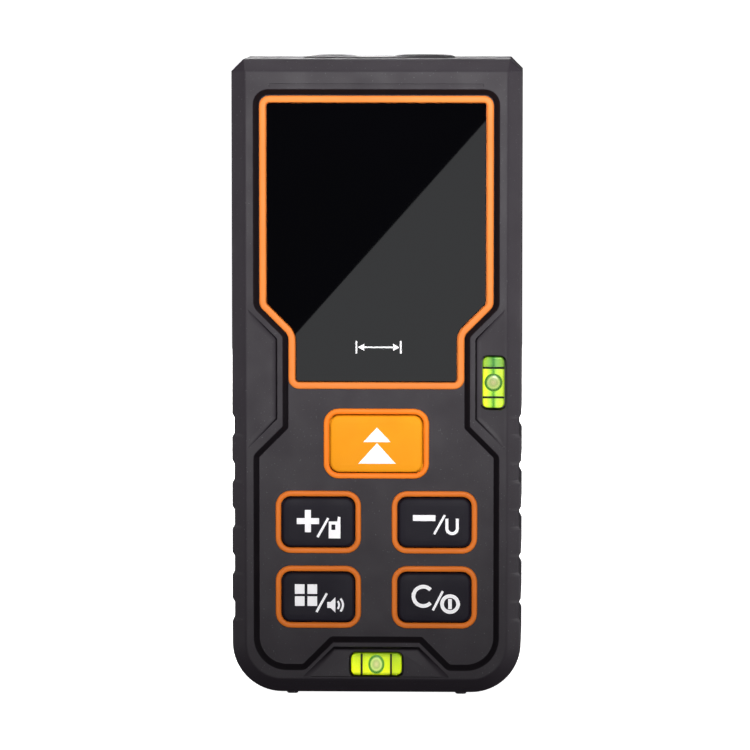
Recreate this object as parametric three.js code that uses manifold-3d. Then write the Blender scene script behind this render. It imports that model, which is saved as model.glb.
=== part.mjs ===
// Hand-held laser distance meter. Millimetres, +Z up the long axis, the display and keys face -Y.
// The origin is under the middle of the base, on the plane of the four base feet.
import * as THREE from 'three';
import { mergeVertices } from 'three/addons/utils/BufferGeometryUtils.js';
import Module from 'manifold-3d';

const wasm = await Module();
wasm.setup();

// ---- driving dimensions ----------------------------------------------------------------

const BODY = { width: 51, top: 112.2, bottom: 0.35, front: -13, back: 13, wall: 1.9 };
const CORNER = { bottomRadius: 8.8, topCut: 2.6 };
const CHAMFER = { size: 2.5, depth: 1.9 };
const REAR_ROUND = 2.6;
const SEAM = { front: 0.35, rear: 0.65 };
const RECESS = { floor: -11.9, slope: 1.1, width: 41.5, waist: 31.2, top: 106 };
const SHELL_INSIDE = { front: -10.1, back: 11.2 };
const FOOT = { x: 14.9, width: 2, length: 5, frontY: -8.4, rearY: 8.4 };
const NOTCH = { count: 5, first: 15, pitch: 8.18, height: 4.1, floorHeight: 2.7, depth: 0.45 };
const RIB = { crest: 0.85, panelDrop: 0.5, panelTop: 67.2, panelFoot: 44.1 };
const BEZEL = { width: 1.22, front: -12.55, back: -10.5, collarInset: 0.45, lip: 0.8 };
const LENS = { front: -12.25, back: -11.15, gap: 0.15 };
const WINDOW_EDGE = { wide: 20.6, waist: 15.5, bottom: 54.25, waistTop: 63.75, wideFoot: 68.85, top: 105.85 };
const VIAL_PANEL = { footHalf: 11.3, headHalf: 7.2, bottom: 3.9, top: 8 };
const KEY = { front: -13, gap: 0.2, bevel: 0.45, flange: 1 };
const KEY_BACK = { flangeFront: -9.9, flangeBack: -9.15, stemBack: -8.6, stemRadius: 1.4 };
const RING = { front: -12.5, back: -11.95, width: 1, radius: 2.6 };
const SMALL_KEY = { width: 15.1, height: 11.08 };
const MEASURE_KEY = { width: 18.6, height: 12.4 };
const KEYS = [
  { name: 'measure', x: 0, z: 44.62, size: MEASURE_KEY },
  { name: 'plus', x: -10.25, z: 30.7, size: SMALL_KEY },
  { name: 'minus', x: 10.25, z: 30.7, size: SMALL_KEY },
  { name: 'mode', x: -10.25, z: 17.4, size: SMALL_KEY },
  { name: 'clear', x: 10.25, z: 17.4, size: SMALL_KEY },
];
const BOARD = { front: -6.2, back: -5.2, halfWidth: 20.4, bottom: 13.4, top: 99.5 };
const SWITCH = { size: 4.2, front: -7.7, buttonRadius: 1.1, buttonHeight: 0.5 };
const MAT = { front: -8.25, back: -7.85, stemHole: 2, width: 35, height: 38, z: 31.6 };
const CELL = { radius: 5.25, length: 43.3, nub: 1.2, nubRadius: 1.9, x: 5.6, y: 5.6, bottom: 10.6 };
const BAY = { halfWidth: 11.3, wall: 1.2, floor: -0.2, bottom: 7.7, top: 57.8 };
const DOOR = { halfWidth: 14, bottom: 6.2, top: 59.2, front: 11.5, gap: 0.3, tabHalf: 5, tabTop: 62.6 };
const HOOK = { x: 8.3, width: 2.6, bottom: 4.9, top: 7.4, front: 9.7, under: 10.9 };
const LEDGE = { front: 10, rim: 1.6, bottom: 3.2, above: 1.9, tabHalf: 7 };
const LCD = { halfWidth: 17.6, bottom: 66, top: 103, lightTop: 99.4 };
const OPTICS = { y: 1.5, laserX: -8, receiverX: 8, laserOpening: 2.6, receiverOpening: 4.3 };
const NOSE = { halfWidth: 13.4, halfDepth: 6, raise: 0.2, rimRaise: 0.45, bottom: 110.3 };
const SCREWS = { low: { x: 19.2, z: 9.6 }, high: { x: 20.4, z: 107.9 } };
const SCREW = { headRadius: 2, headHeight: 1.4, shankRadius: 0.8, tip: -6, bore: 1.1, seat: 9.9 };
const BOSS = { front: 2, rear: 3 };
const VIAL = { width: 3.87, length: 8.9, front: -12.45, back: -8.75, bore: 1.5, corner: 0.8, gap: 0.15 };
const VIALS = [
  { name: 'vertical', x: 20.6, z: 55.5, turned: false },
  { name: 'horizontal', x: 0, z: 5.45, turned: true },
];

// ---- materials -------------------------------------------------------------------------

function finish(color, roughness, metalness) {
  return { color, roughness, metalness };
}

const CHARCOAL = finish(0x4a444b, 0.62, 0);
const BLACK_KEY = finish(0x26272e, 0.5, 0);
const ORANGE = finish(0xfb8c1e, 0.42, 0);
const ORANGE_RING = finish(0xd8702c, 0.45, 0);
const WINDOW = finish(0x08070c, 0.08, 0);
const CLEAR = finish(0xdfe8ea, 0.05, 0);
const FLUID = finish(0xc4e02a, 0.1, 0);
const BLACK = finish(0x1b1b1d, 0.5, 0);
const BOARD_GREEN = finish(0x1f5a3a, 0.5, 0);
const SILICONE = finish(0x5a5c60, 0.7, 0);
const STEEL = finish(0xb8b9bb, 0.35, 1);
const BRASS = finish(0xb58a45, 0.35, 1);
const CELL_WRAP = finish(0x2c5f8a, 0.4, 0.2);
const FLEX = finish(0xb9782d, 0.4, 0);
const LCD_GLASS = finish(0x1a2024, 0.2, 0);
const WHITE = finish(0xe8ebee, 0.5, 0);

// ---- solids ----------------------------------------------------------------------------

// The closed mesh of a three.js geometry as a manifold solid.
function solid(geometry) {
  const bare = geometry.clone();
  bare.deleteAttribute('normal');
  bare.deleteAttribute('uv');
  const merged = mergeVertices(bare, 1e-4);
  return new wasm.Manifold(new wasm.Mesh({
    numProp: 3,
    vertProperties: new Float32Array(merged.attributes.position.array),
    triVerts: new Uint32Array(merged.index.array),
  }));
}

function toGeometry(manifold) {
  const mesh = manifold.getMesh();
  const geometry = new THREE.BufferGeometry();
  geometry.setAttribute('position', new THREE.BufferAttribute(mesh.vertProperties, 3));
  geometry.setIndex(new THREE.BufferAttribute(mesh.triVerts, 1));
  return geometry;
}

function box(x0, x1, y0, y1, z0, z1) {
  const geometry = new THREE.BoxGeometry(x1 - x0, y1 - y0, z1 - z0);
  geometry.translate((x0 + x1) / 2, (y0 + y1) / 2, (z0 + z1) / 2);
  return solid(geometry);
}

// A cylinder along one axis from low to high; u and v are its place on the other two axes in order.
function cylinder(axis, radius, low, high, u, v, sides = 16) {
  const geometry = new THREE.CylinderGeometry(radius, radius, high - low, sides);
  const middle = (low + high) / 2;
  if (axis === 'x') geometry.rotateZ(Math.PI / 2).translate(middle, u, v);
  if (axis === 'y') geometry.translate(u, middle, v);
  if (axis === 'z') geometry.rotateX(Math.PI / 2).translate(u, v, middle);
  return solid(geometry);
}

function directionBetween([x0, z0], [x1, z1]) {
  return new THREE.Vector2(x1 - x0, z1 - z0).normalize();
}

// Adds the arc that rounds a corner; before and after point from it along its two edges.
function roundCorner(shape, corner, before, after, radius) {
  const half = Math.acos(before.dot(after)) / 2;
  const start = corner.clone().addScaledVector(before, radius / Math.tan(half));
  const end = corner.clone().addScaledVector(after, radius / Math.tan(half));
  const middle = before.clone().add(after).normalize();
  const centre = corner.clone().addScaledVector(middle, radius / Math.sin(half));
  const clockwise = before.cross(after) > 0;
  shape.absarc(centre.x, centre.y, radius, start.sub(centre).angle(), end.sub(centre).angle(), clockwise);
}

// An outline through corners [x, z, radius], anticlockwise; each corner is an arc of its own radius.
function outline(corners) {
  const shape = new THREE.Shape();
  corners.forEach((corner, index) => {
    const [x, z, radius] = corner;
    const before = directionBetween(corner, corners.at(index - 1));
    const after = directionBetween(corner, corners[(index + 1) % corners.length]);
    if (radius) roundCorner(shape, new THREE.Vector2(x, z), before, after, radius);
    else if (index) shape.lineTo(x, z);
    else shape.moveTo(x, z);
  });
  return shape;
}

// The right side's corners from bottom to top, then the same mirrored down the left side.
function mirrored(right) {
  const left = right.map(([x, z, radius]) => [-x, z, radius]).reverse();
  return [...right, ...left];
}

function roundedRect(x, z, width, height, radius) {
  const corners = mirrored([[width / 2, -height / 2, radius], [width / 2, height / 2, radius]]);
  return outline(corners.map(([cornerX, cornerZ, bend]) => [cornerX + x, cornerZ + z, bend]));
}

// An outline in X and Z extruded along Y from front to back.
function plate(shape, front, back, segments = 2) {
  const options = { depth: back - front, bevelEnabled: false, curveSegments: segments };
  const geometry = new THREE.ExtrudeGeometry(shape, options);
  geometry.rotateX(Math.PI / 2).translate(0, back, 0);
  return solid(geometry);
}

// As plate, with an outward bevel at each end; the shape is the small end and the middle is larger by size.
function bevelled(shape, front, back, size, depth, steps = 1, segments = 2) {
  const options = {
    depth: back - front - 2 * depth,
    bevelThickness: depth,
    bevelSize: size,
    bevelSegments: steps,
    curveSegments: segments,
  };
  const geometry = new THREE.ExtrudeGeometry(shape, options);
  geometry.rotateX(Math.PI / 2).translate(0, back - depth, 0);
  return solid(geometry);
}

// An outline in X and Y extruded up Z from bottom to top.
function column(shape, bottom, top, segments = 4) {
  const options = { depth: top - bottom, bevelEnabled: false, curveSegments: segments };
  const geometry = new THREE.ExtrudeGeometry(shape, options);
  geometry.translate(0, 0, bottom);
  return solid(geometry);
}

function union(first, ...others) {
  return others.reduce((sum, other) => sum.add(other), first);
}

function cut(first, ...others) {
  return others.reduce((rest, other) => rest.subtract(other), first);
}

const meter = new THREE.Group();

function node(name, shape, look, parent = meter) {
  const geometry = shape.isBufferGeometry ? shape : toGeometry(shape);
  const mesh = new THREE.Mesh(geometry, new THREE.MeshStandardMaterial(look));
  mesh.name = name;
  parent.add(mesh);
  return mesh;
}

// ---- outlines that several pieces share --------------------------------------------------

const HALF = BODY.width / 2;

// The body seen from the front: square shoulders cut at 45 degrees and large round lower corners.
function bodyOutline(inset = 0) {
  const cutLength = CORNER.topCut - inset * (2 - Math.SQRT2);
  return outline(mirrored([
    [HALF - inset, BODY.bottom + inset, CORNER.bottomRadius - inset],
    [HALF - inset, BODY.top - inset - cutLength, 0],
    [HALF - inset - cutLength, BODY.top - inset, 0],
  ]));
}

// The edge of the flat border, where the outer chamfer starts; its shoulders are square.
function creaseOutline(size) {
  return outline(mirrored([
    [HALF - size, BODY.bottom + size, CORNER.bottomRadius - size],
    [HALF - size, BODY.top - size + 0.4, 0],
  ]));
}

// The sunk front field: wide round the window, drawn in to a waist, and wide again round the keys.
function fieldOutline() {
  const wide = RECESS.width / 2;
  const waist = RECESS.waist / 2;
  return outline(mirrored([
    [8, 10.25, 0.8],
    [12.95, 5.3, 0.8],
    [wide, 5.3, 5],
    [wide, 42.2, 0.6],
    [waist, 47.35, 0.6],
    [waist, 63.9, 0.6],
    [wide, 69.05, 0.6],
    [wide, RECESS.top, 1.8],
  ]));
}

// The window frame's outline, drawn in by inset all round.
function windowOutline(inset) {
  const wide = WINDOW_EDGE.wide - inset;
  const waist = WINDOW_EDGE.waist - inset;
  const bend = inset * (Math.SQRT2 - 1);
  return outline(mirrored([
    [waist, WINDOW_EDGE.bottom + inset, Math.max(1.6 - inset, 0.3)],
    [waist, WINDOW_EDGE.waistTop + bend, 0.8],
    [wide, WINDOW_EDGE.wideFoot + bend, 0.8],
    [wide, WINDOW_EDGE.top - inset, Math.max(1.7 - inset, 0.3)],
  ]));
}

// ---- housing ----------------------------------------------------------------------------

function gripNotches() {
  const middle = NOTCH.height / 2;
  const floor = NOTCH.floorHeight / 2;
  const cuts = [];
  for (let i = 0; i < NOTCH.count; i += 1) {
    const z = NOTCH.first + i * NOTCH.pitch;
    for (const side of [-1, 1]) {
      const mouth = side * (HALF + NOTCH.depth);
      const face = side * HALF;
      const deep = side * (HALF - NOTCH.depth);
      const corners = [
        [mouth, z - middle, 0],
        [mouth, z + middle, 0],
        [face, z + middle, 0],
        [deep, z + floor, 0],
        [deep, z - floor, 0],
        [face, z - middle, 0],
      ];
      cuts.push(plate(outline(side > 0 ? corners : corners.reverse()), BODY.front - 1, BODY.back + 1));
    }
  }
  return cuts;
}

function feet(y) {
  return [-1, 1].map((side) => {
    const inner = side * FOOT.x - FOOT.width / 2;
    return box(inner, inner + FOOT.width, y - FOOT.length / 2, y + FOOT.length / 2, 0, BODY.bottom + 0.5);
  });
}

// The end-wall opening that the nose cap fills.
function noseOutline(gap) {
  const halfDepth = NOSE.halfDepth + gap;
  const halfWidth = NOSE.halfWidth + gap;
  return outline(mirrored([
    [halfWidth, OPTICS.y - halfDepth, halfDepth - 0.01],
    [halfWidth, OPTICS.y + halfDepth, halfDepth - 0.01],
  ]));
}

function screwPlaces() {
  const places = [];
  for (const { x, z } of [SCREWS.low, SCREWS.high]) places.push([-x, z], [x, z]);
  return places;
}

// A side panel beside the waist: a shallow trapezoid sunk between the rib and the border.
function sidePanel(side) {
  const inner = RECESS.waist / 2 + RECESS.slope + RIB.crest;
  const outer = HALF - CHAMFER.size - 0.3;
  const run = outer - inner;
  const corners = [
    [inner, RIB.panelFoot + run, 0.4],
    [outer, RIB.panelFoot, 0.4],
    [outer, RIB.panelTop, 0.4],
    [inner, RIB.panelTop - run, 0.4],
  ].map(([x, z, radius]) => [side * x, z, radius]);
  return outline(side > 0 ? corners : corners.reverse());
}

function vialOpening({ x, z, turned }, grow) {
  const across = VIAL.width + 2 * grow;
  const along = VIAL.length + 2 * grow;
  const [width, height] = turned ? [along, across] : [across, along];
  return roundedRect(x, z, width, height, VIAL.corner + grow);
}

// A cylinder along Y at each screw.
function atScrews(radius, front, back, sides) {
  return screwPlaces().map(([x, z]) => cylinder('y', radius, front, back, x, z, sides));
}

function frontCover() {
  const { size, depth } = CHAMFER;
  const block = bevelled(creaseOutline(size), BODY.front, SEAM.front + depth, size, depth, 1, 4);
  const outside = block.intersect(plate(bodyOutline(), BODY.front - 1, SEAM.front, 4));
  const inside = plate(bodyOutline(BODY.wall), SHELL_INSIDE.front, BODY.back);
  const bosses = atScrews(BOSS.front, SHELL_INSIDE.front - 0.5, SEAM.front, 12);
  const bores = atScrews(SCREW.bore, SCREW.tip - 0.4, 1, 8);
  const field = bevelled(fieldOutline(), -14.6, RECESS.floor, RECESS.slope, RECESS.slope);
  const panels = [-1, 1].map((side) => plate(sidePanel(side), BODY.front - 1, BODY.front + RIB.panelDrop));
  const vialPanel = outline(mirrored([
    [VIAL_PANEL.footHalf, VIAL_PANEL.bottom, 0.4],
    [VIAL_PANEL.headHalf, VIAL_PANEL.top, 0.4],
  ]));
  const keyOpenings = KEYS.map((key) => {
    const inset = 2 * (RING.width - 0.1);
    const opening = roundedRect(key.x, key.z, key.size.width - inset, key.size.height - inset, 1.8);
    return plate(opening, BODY.front - 1, SHELL_INSIDE.front + 1);
  });
  return cut(
    union(outside.subtract(inside), ...bosses, ...feet(FOOT.frontY)),
    field,
    ...panels,
    plate(vialPanel, BODY.front - 1, BODY.front + RIB.panelDrop),
    plate(windowOutline(BEZEL.collarInset - 0.3), BODY.front - 1, SHELL_INSIDE.front + 1),
    ...keyOpenings,
    ...VIALS.map((vial) => plate(vialOpening(vial, VIAL.gap), BODY.front - 1, SHELL_INSIDE.front + 1)),
    ...gripNotches(),
    ...bores,
    column(noseOutline(0.3), 105, 115),
  );
}

// The battery bay's walls, the ledge that the door lies on, and the floor under the door's thumb tab.
function batteryBay() {
  const outer = BAY.halfWidth + BAY.wall;
  const low = BAY.bottom - BAY.wall;
  const walls = box(-outer, outer, BAY.floor - BAY.wall, LEDGE.front + 0.5, low, BAY.top + BAY.wall);
  const rim = DOOR.halfWidth + DOOR.gap + LEDGE.rim;
  const back = SHELL_INSIDE.back + 0.2;
  const ledge = box(-rim, rim, LEDGE.front, back, LEDGE.bottom, DOOR.top + LEDGE.above);
  const tabFloor = box(-LEDGE.tabHalf, LEDGE.tabHalf, LEDGE.front, back, DOOR.top, DOOR.tabTop + LEDGE.above);
  const space = box(-BAY.halfWidth, BAY.halfWidth, BAY.floor, BODY.back + 1, BAY.bottom, BAY.top);
  return { solids: [walls, ledge, tabFloor], space };
}

// The opening in the back that the door and its thumb tab fill.
function doorOpenings() {
  const width = 2 * (DOOR.halfWidth + DOOR.gap);
  const height = DOOR.top - DOOR.bottom + 2 * DOOR.gap;
  const tabWidth = 2 * (DOOR.tabHalf + DOOR.gap);
  const tabHeight = 2 * (DOOR.tabTop + DOOR.gap - DOOR.top);
  return [
    roundedRect(0, (DOOR.bottom + DOOR.top) / 2, width, height, 2.3),
    roundedRect(0, DOOR.top, tabWidth, tabHeight, 1.5),
  ].map((shape) => plate(shape, SHELL_INSIDE.back, BODY.back + 1));
}

// The slots under the cover's lower edge that the door's two hooks turn in.
function hookSlots() {
  return [-1, 1].map((side) => {
    const low = side * HOOK.x - HOOK.width / 2 - 0.3;
    return box(low, low + HOOK.width + 0.6, HOOK.front - 0.5, SHELL_INSIDE.back, HOOK.bottom - 0.5, 10.2);
  });
}

function rearCover() {
  const round = REAR_ROUND;
  const block = bevelled(creaseOutline(round), SEAM.rear - 2 * round, BODY.back, round, round, 3, 4);
  const outside = block.intersect(plate(bodyOutline(), SEAM.rear, BODY.back + 1, 4));
  const inside = plate(bodyOutline(BODY.wall), SEAM.rear - 1, SHELL_INSIDE.back);
  const bosses = atScrews(BOSS.rear, SEAM.rear, BODY.back - 0.8, 16);
  const bay = batteryBay();
  return cut(
    union(outside.subtract(inside), ...bosses, ...bay.solids, ...feet(FOOT.rearY)),
    bay.space,
    ...doorOpenings(),
    ...hookSlots(),
    ...atScrews(SCREW.bore, -1, BODY.back + 1, 8),
    ...atScrews(SCREW.headRadius + 0.3, SCREW.seat, BODY.back + 1, 16),
    ...gripNotches(),
    column(noseOutline(0.3), 105, 115),
  );
}

function batteryDoor() {
  const height = DOOR.top - DOOR.bottom;
  const shape = roundedRect(0, DOOR.bottom + height / 2, 2 * DOOR.halfWidth, height, 2);
  const panel = plate(shape, DOOR.front, BODY.back);
  const tabHeight = 2 * (DOOR.tabTop - DOOR.top);
  const tab = plate(roundedRect(0, DOOR.top, 2 * DOOR.tabHalf, tabHeight, 1.2), DOOR.front, BODY.back);
  const hooks = [-1, 1].flatMap((side) => {
    const low = side * HOOK.x - HOOK.width / 2;
    const high = low + HOOK.width;
    return [
      box(low, high, HOOK.front, DOOR.front + 0.2, DOOR.bottom + 0.3, HOOK.top),
      box(low, high, HOOK.front, HOOK.under, HOOK.bottom, DOOR.bottom + 0.5),
    ];
  });
  return union(panel, tab, ...hooks);
}

// The moulded cap that closes the measuring end, with a raised rim round each optical opening.
function noseCap() {
  const top = BODY.top + NOSE.raise;
  const rimTop = BODY.top + NOSE.rimRaise;
  return cut(
    union(
      column(noseOutline(0), NOSE.bottom, top),
      cylinder('z', 4.2, NOSE.bottom, rimTop, OPTICS.laserX, OPTICS.y),
      cylinder('z', 5, NOSE.bottom, rimTop, OPTICS.receiverX, OPTICS.y),
    ),
    cylinder('z', OPTICS.laserOpening, NOSE.bottom - 1, 114, OPTICS.laserX, OPTICS.y),
    cylinder('z', OPTICS.receiverOpening, NOSE.bottom - 1, 114, OPTICS.receiverX, OPTICS.y),
  );
}

// Each glass stands 0.2 clear of its opening in the nose; the receiving lens is domed.
function receiverLens() {
  const radius = OPTICS.receiverOpening - 0.2;
  const profile = [
    [0, 110.4],
    [radius, 110.4],
    [radius, 111.4],
    [3.6, 111.7],
    [2.4, 112.05],
    [1.2, 112.2],
    [0, 112.25],
  ];
  const geometry = new THREE.LatheGeometry(profile.map(([r, z]) => new THREE.Vector2(r, z)), 18);
  geometry.rotateX(Math.PI / 2).translate(OPTICS.receiverX, OPTICS.y, 0);
  return solid(geometry);
}

node('front_cover', frontCover(), CHARCOAL);
node('rear_cover', rearCover(), CHARCOAL);
node('battery_door', batteryDoor(), CHARCOAL);
node('nose_cap', noseCap(), CHARCOAL);
const exitRadius = OPTICS.laserOpening - 0.2;
node('emitter_window', cylinder('z', exitRadius, 110.8, 111.8, OPTICS.laserX, OPTICS.y), CLEAR);
node('receiver_lens', receiverLens(), CLEAR);

// A cross-recessed screw along Y on its own axis.
function housingScrew() {
  const under = SCREW.seat + 0.1;
  const head = cylinder('y', SCREW.headRadius, under, under + SCREW.headHeight, 0, 0, 16);
  const shank = cylinder('y', SCREW.shankRadius, SCREW.tip, SCREW.seat + 1, 0, 0, 8);
  const slots = [0, Math.PI / 2].map((turn) => {
    const bar = new THREE.BoxGeometry(2.4, 1.2, 0.5);
    bar.rotateY(turn + Math.PI / 4).translate(0, under + SCREW.headHeight, 0);
    return solid(bar);
  });
  return cut(union(head, shank), ...slots);
}

const screwShape = housingScrew();
for (const [index, [x, z]] of screwPlaces().entries()) {
  const screw = node(`housing_screw_${index + 1}`, screwShape, STEEL);
  screw.position.set(x, 0, z);
}

// ---- window ------------------------------------------------------------------------------

function windowBezel() {
  const face = plate(windowOutline(0), BEZEL.front, RING.back);
  const collar = plate(windowOutline(BEZEL.collarInset), BEZEL.front, BEZEL.back);
  return cut(
    union(face, collar),
    plate(windowOutline(BEZEL.width), BEZEL.front - 1, LENS.back + 0.1),
    plate(windowOutline(BEZEL.width + BEZEL.lip), BEZEL.front - 1, BEZEL.back + 1),
  );
}

node('window_bezel', windowBezel(), ORANGE);
node('window_lens', plate(windowOutline(BEZEL.width + LENS.gap), LENS.front, LENS.back), WINDOW);

// ---- keys --------------------------------------------------------------------------------

// A raised orange surround; its own middle is at its local origin.
function keyRing({ width, height }) {
  const outside = roundedRect(0, 0, width - 0.5, height - 0.5, RING.radius - 0.25);
  const inside = roundedRect(0, 0, width - 2 * RING.width, height - 2 * RING.width, RING.radius - RING.width);
  const crown = bevelled(outside, RING.front, RING.front + 1.2, 0.25, 0.3);
  const kept = crown.intersect(plate(roundedRect(0, 0, width + 2, height + 2, 1), RING.front - 1, RING.back));
  return kept.subtract(plate(inside, RING.front - 1, RING.back + 1));
}

// A cap that stands in its surround, a flange behind the cover, and a stem that reaches the switch.
function keyCap({ width, height }) {
  const { flangeFront, flangeBack, stemBack, stemRadius } = KEY_BACK;
  const inset = 2 * (RING.width + KEY.gap);
  const drawn = inset + 2 * KEY.bevel;
  const face = roundedRect(0, 0, width - drawn, height - drawn, 1.1);
  const block = bevelled(face, KEY.front, flangeFront + 2, KEY.bevel, KEY.bevel);
  const cap = block.intersect(plate(roundedRect(0, 0, width, height, 1), KEY.front - 1, flangeFront + 0.2));
  const grow = 2 * KEY.flange - inset;
  const flange = plate(roundedRect(0, 0, width + grow, height + grow, 1.6), flangeFront, flangeBack);
  return union(cap, flange, cylinder('y', stemRadius, flangeBack - 0.2, stemBack, 0, 0, 12));
}

const ringShapes = new Map([SMALL_KEY, MEASURE_KEY].map((size) => [size, keyRing(size)]));
const capShapes = new Map([SMALL_KEY, MEASURE_KEY].map((size) => [size, keyCap(size)]));

function tactSwitch() {
  const half = SWITCH.size / 2;
  const base = box(-half, half, SWITCH.front + SWITCH.buttonHeight, BOARD.front - 0.05, -half, half);
  return union(base, cylinder('y', SWITCH.buttonRadius, SWITCH.front, BOARD.front - 0.5, 0, 0, 12));
}

for (const { name, x, z, size } of KEYS) {
  const group = new THREE.Group();
  group.position.set(x, 0, z);
  meter.add(group);
  const main = size === MEASURE_KEY;
  node(`${name}_key_ring`, ringShapes.get(size), main ? ORANGE : ORANGE_RING, group);
  node(`${name}_key`, capShapes.get(size), main ? ORANGE : BLACK_KEY, group);
  node(`${name}_switch`, tactSwitch(), BLACK, group);
}

// The silicone mat behind the keys, with a hole for each stem.
const matHoles = KEYS.map(({ x, z }) => cylinder('y', MAT.stemHole, MAT.front - 1, MAT.back + 1, x, z, 16));
const matSheet = plate(roundedRect(0, MAT.z, MAT.width, MAT.height, 2), MAT.front, MAT.back);
node('keypad_mat', cut(matSheet, ...matHoles), SILICONE);

// ---- display and electronics ---------------------------------------------------------------

const lcdPanel = box(-LCD.halfWidth, LCD.halfWidth, -10.1, -8.7, LCD.bottom, LCD.top);
node('lcd_panel', lcdPanel, LCD_GLASS);
const backlight = box(-LCD.halfWidth, LCD.halfWidth, -8.6, -6.9, LCD.bottom, LCD.lightTop);
node('lcd_backlight', backlight, WHITE);

// The display's ribbon: out of the panel's foot, down, and back to the board.
function displayFlex() {
  const width = 16;
  const path = [
    [-9.5, 65.9],
    [-9.5, 61.6],
    [-6.5, 61.6],
    [-6.5, 58.4],
    [-6.3, 58.4],
    [-6.3, 61.8],
    [-9.3, 61.8],
    [-9.3, 65.9],
  ];
  const shape = new THREE.Shape(path.map(([y, z]) => new THREE.Vector2(y, z)));
  const geometry = new THREE.ExtrudeGeometry(shape, { depth: width, bevelEnabled: false });
  const alongX = new THREE.Vector3(1, 0, 0);
  const alongY = new THREE.Vector3(0, 1, 0);
  const alongZ = new THREE.Vector3(0, 0, 1);
  geometry.applyMatrix4(new THREE.Matrix4().makeBasis(alongY, alongZ, alongX));
  geometry.translate(-width / 2, 0, 0);
  return solid(geometry);
}

node('display_flex', displayFlex(), FLEX);

const boardHeight = BOARD.top - BOARD.bottom;
const boardShape = roundedRect(0, BOARD.bottom + boardHeight / 2, 2 * BOARD.halfWidth, boardHeight, 1.5);
node('main_board', plate(boardShape, BOARD.front, BOARD.back), BOARD_GREEN);
node('processor_chip', box(-5, 5, BOARD.back + 0.05, BOARD.back + 1.2, 26, 36), BLACK);
node('buzzer', cylinder('y', 4.5, BOARD.back + 0.05, BOARD.back + 3.1, 13.5, 65), BLACK);
node('shield_can', box(-16, 4, BOARD.back + 0.05, BOARD.back + 2.1, 60.6, 71), STEEL);

// ---- optics --------------------------------------------------------------------------------

// The holder for the laser barrel and the receiving tube; both bores run through it along Z.
function opticsChassis() {
  const { y, laserX, receiverX } = OPTICS;
  return cut(
    union(
      box(-13, 14, y - 5.4, y + 5.4, 80, 88),
      cylinder('z', 5.6, 80, 109.6, receiverX, y),
      cylinder('z', 4.7, 80, 104, laserX, y),
    ),
    cylinder('z', 4.5, 82, 111, receiverX, y),
    cylinder('z', 2, 79, 83, receiverX, y, 16),
    cylinder('z', 3.6, 79, 111, laserX, y),
  );
}

function laserModule() {
  const { y, laserX } = OPTICS;
  return cut(
    cylinder('z', 3.3, 82, 108.4, laserX, y),
    cylinder('z', 2.3, 105, 110, laserX, y),
  );
}

node('optics_chassis', opticsChassis(), BLACK);
node('laser_module', laserModule(), BRASS);
node('collimator_lens', cylinder('z', 2.15, 106, 107.6, OPTICS.laserX, OPTICS.y), CLEAR);
node('sensor_board', box(-12.5, 13.5, -3.4, 6.4, 77.2, 78.2), BOARD_GREEN);
node('photodiode', cylinder('z', 1.7, 78.3, 80.9, OPTICS.receiverX, OPTICS.y, 16), STEEL);

// ---- battery bay ----------------------------------------------------------------------------

// A cell stands with its positive end up or down; its local origin is at the middle of its length.
function batteryCell() {
  const half = (CELL.length + CELL.nub) / 2;
  const shoulder = half - CELL.nub;
  const profile = [
    [0, -half],
    [CELL.radius - 0.4, -half],
    [CELL.radius, 0.4 - half],
    [CELL.radius, shoulder - 0.4],
    [CELL.radius - 0.4, shoulder],
    [CELL.nubRadius, shoulder],
    [CELL.nubRadius, half],
    [0, half],
  ];
  const geometry = new THREE.LatheGeometry(profile.map(([r, z]) => new THREE.Vector2(r, z)), 18);
  geometry.rotateX(Math.PI / 2);
  return solid(geometry);
}

// A conical contact spring on its plate, standing up from z = 0.
function contactSpring() {
  const turns = 2.5;
  const steps = 25;
  const points = [];
  for (let i = 0; i <= steps; i += 1) {
    const t = i / steps;
    const angle = t * turns * 2 * Math.PI;
    const radius = 2.9 - 1.5 * t;
    points.push(new THREE.Vector3(radius * Math.cos(angle), radius * Math.sin(angle), 0.35 + 1.75 * t));
  }
  const section = new THREE.Shape();
  section.absarc(0, 0, 0.25, 0, 2 * Math.PI);
  const extrudePath = new THREE.CatmullRomCurve3(points);
  const options = { steps, extrudePath, curveSegments: 3, bevelEnabled: false };
  const coil = solid(new THREE.ExtrudeGeometry(section, options));
  return coil.add(box(-3.9, 3.9, -3.9, 3.9, 0, 0.4));
}

function contactPlate() {
  return union(box(-3.9, 3.9, -3.9, 3.9, 0, 0.4), cylinder('z', 1.5, 0.2, 0.9, 0, 0, 16));
}

const cellShape = batteryCell();
const cellMiddle = CELL.bottom + (CELL.length + CELL.nub) / 2;
const lowerContact = BAY.bottom + 0.15;
const upperContact = BAY.top - 0.15;

function contact(name, shape, x, z, turned) {
  const piece = node(name, shape, STEEL);
  piece.position.set(x, CELL.y, z);
  if (turned) piece.rotation.x = Math.PI;
}

const leftCell = node('battery_cell_left', cellShape, CELL_WRAP);
leftCell.position.set(-CELL.x, CELL.y, cellMiddle);
const rightCell = node('battery_cell_right', cellShape, CELL_WRAP);
rightCell.position.set(CELL.x, CELL.y, cellMiddle - 0.6);
rightCell.rotation.x = Math.PI;
contact('contact_spring_lower', contactSpring(), -CELL.x, lowerContact, false);
contact('contact_plate_lower', contactPlate(), CELL.x, lowerContact, false);
contact('contact_spring_upper', contactSpring(), CELL.x, upperContact, true);
contact('contact_plate_upper', contactPlate(), -CELL.x, upperContact, true);

// ---- bubble levels -----------------------------------------------------------------------------

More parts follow.
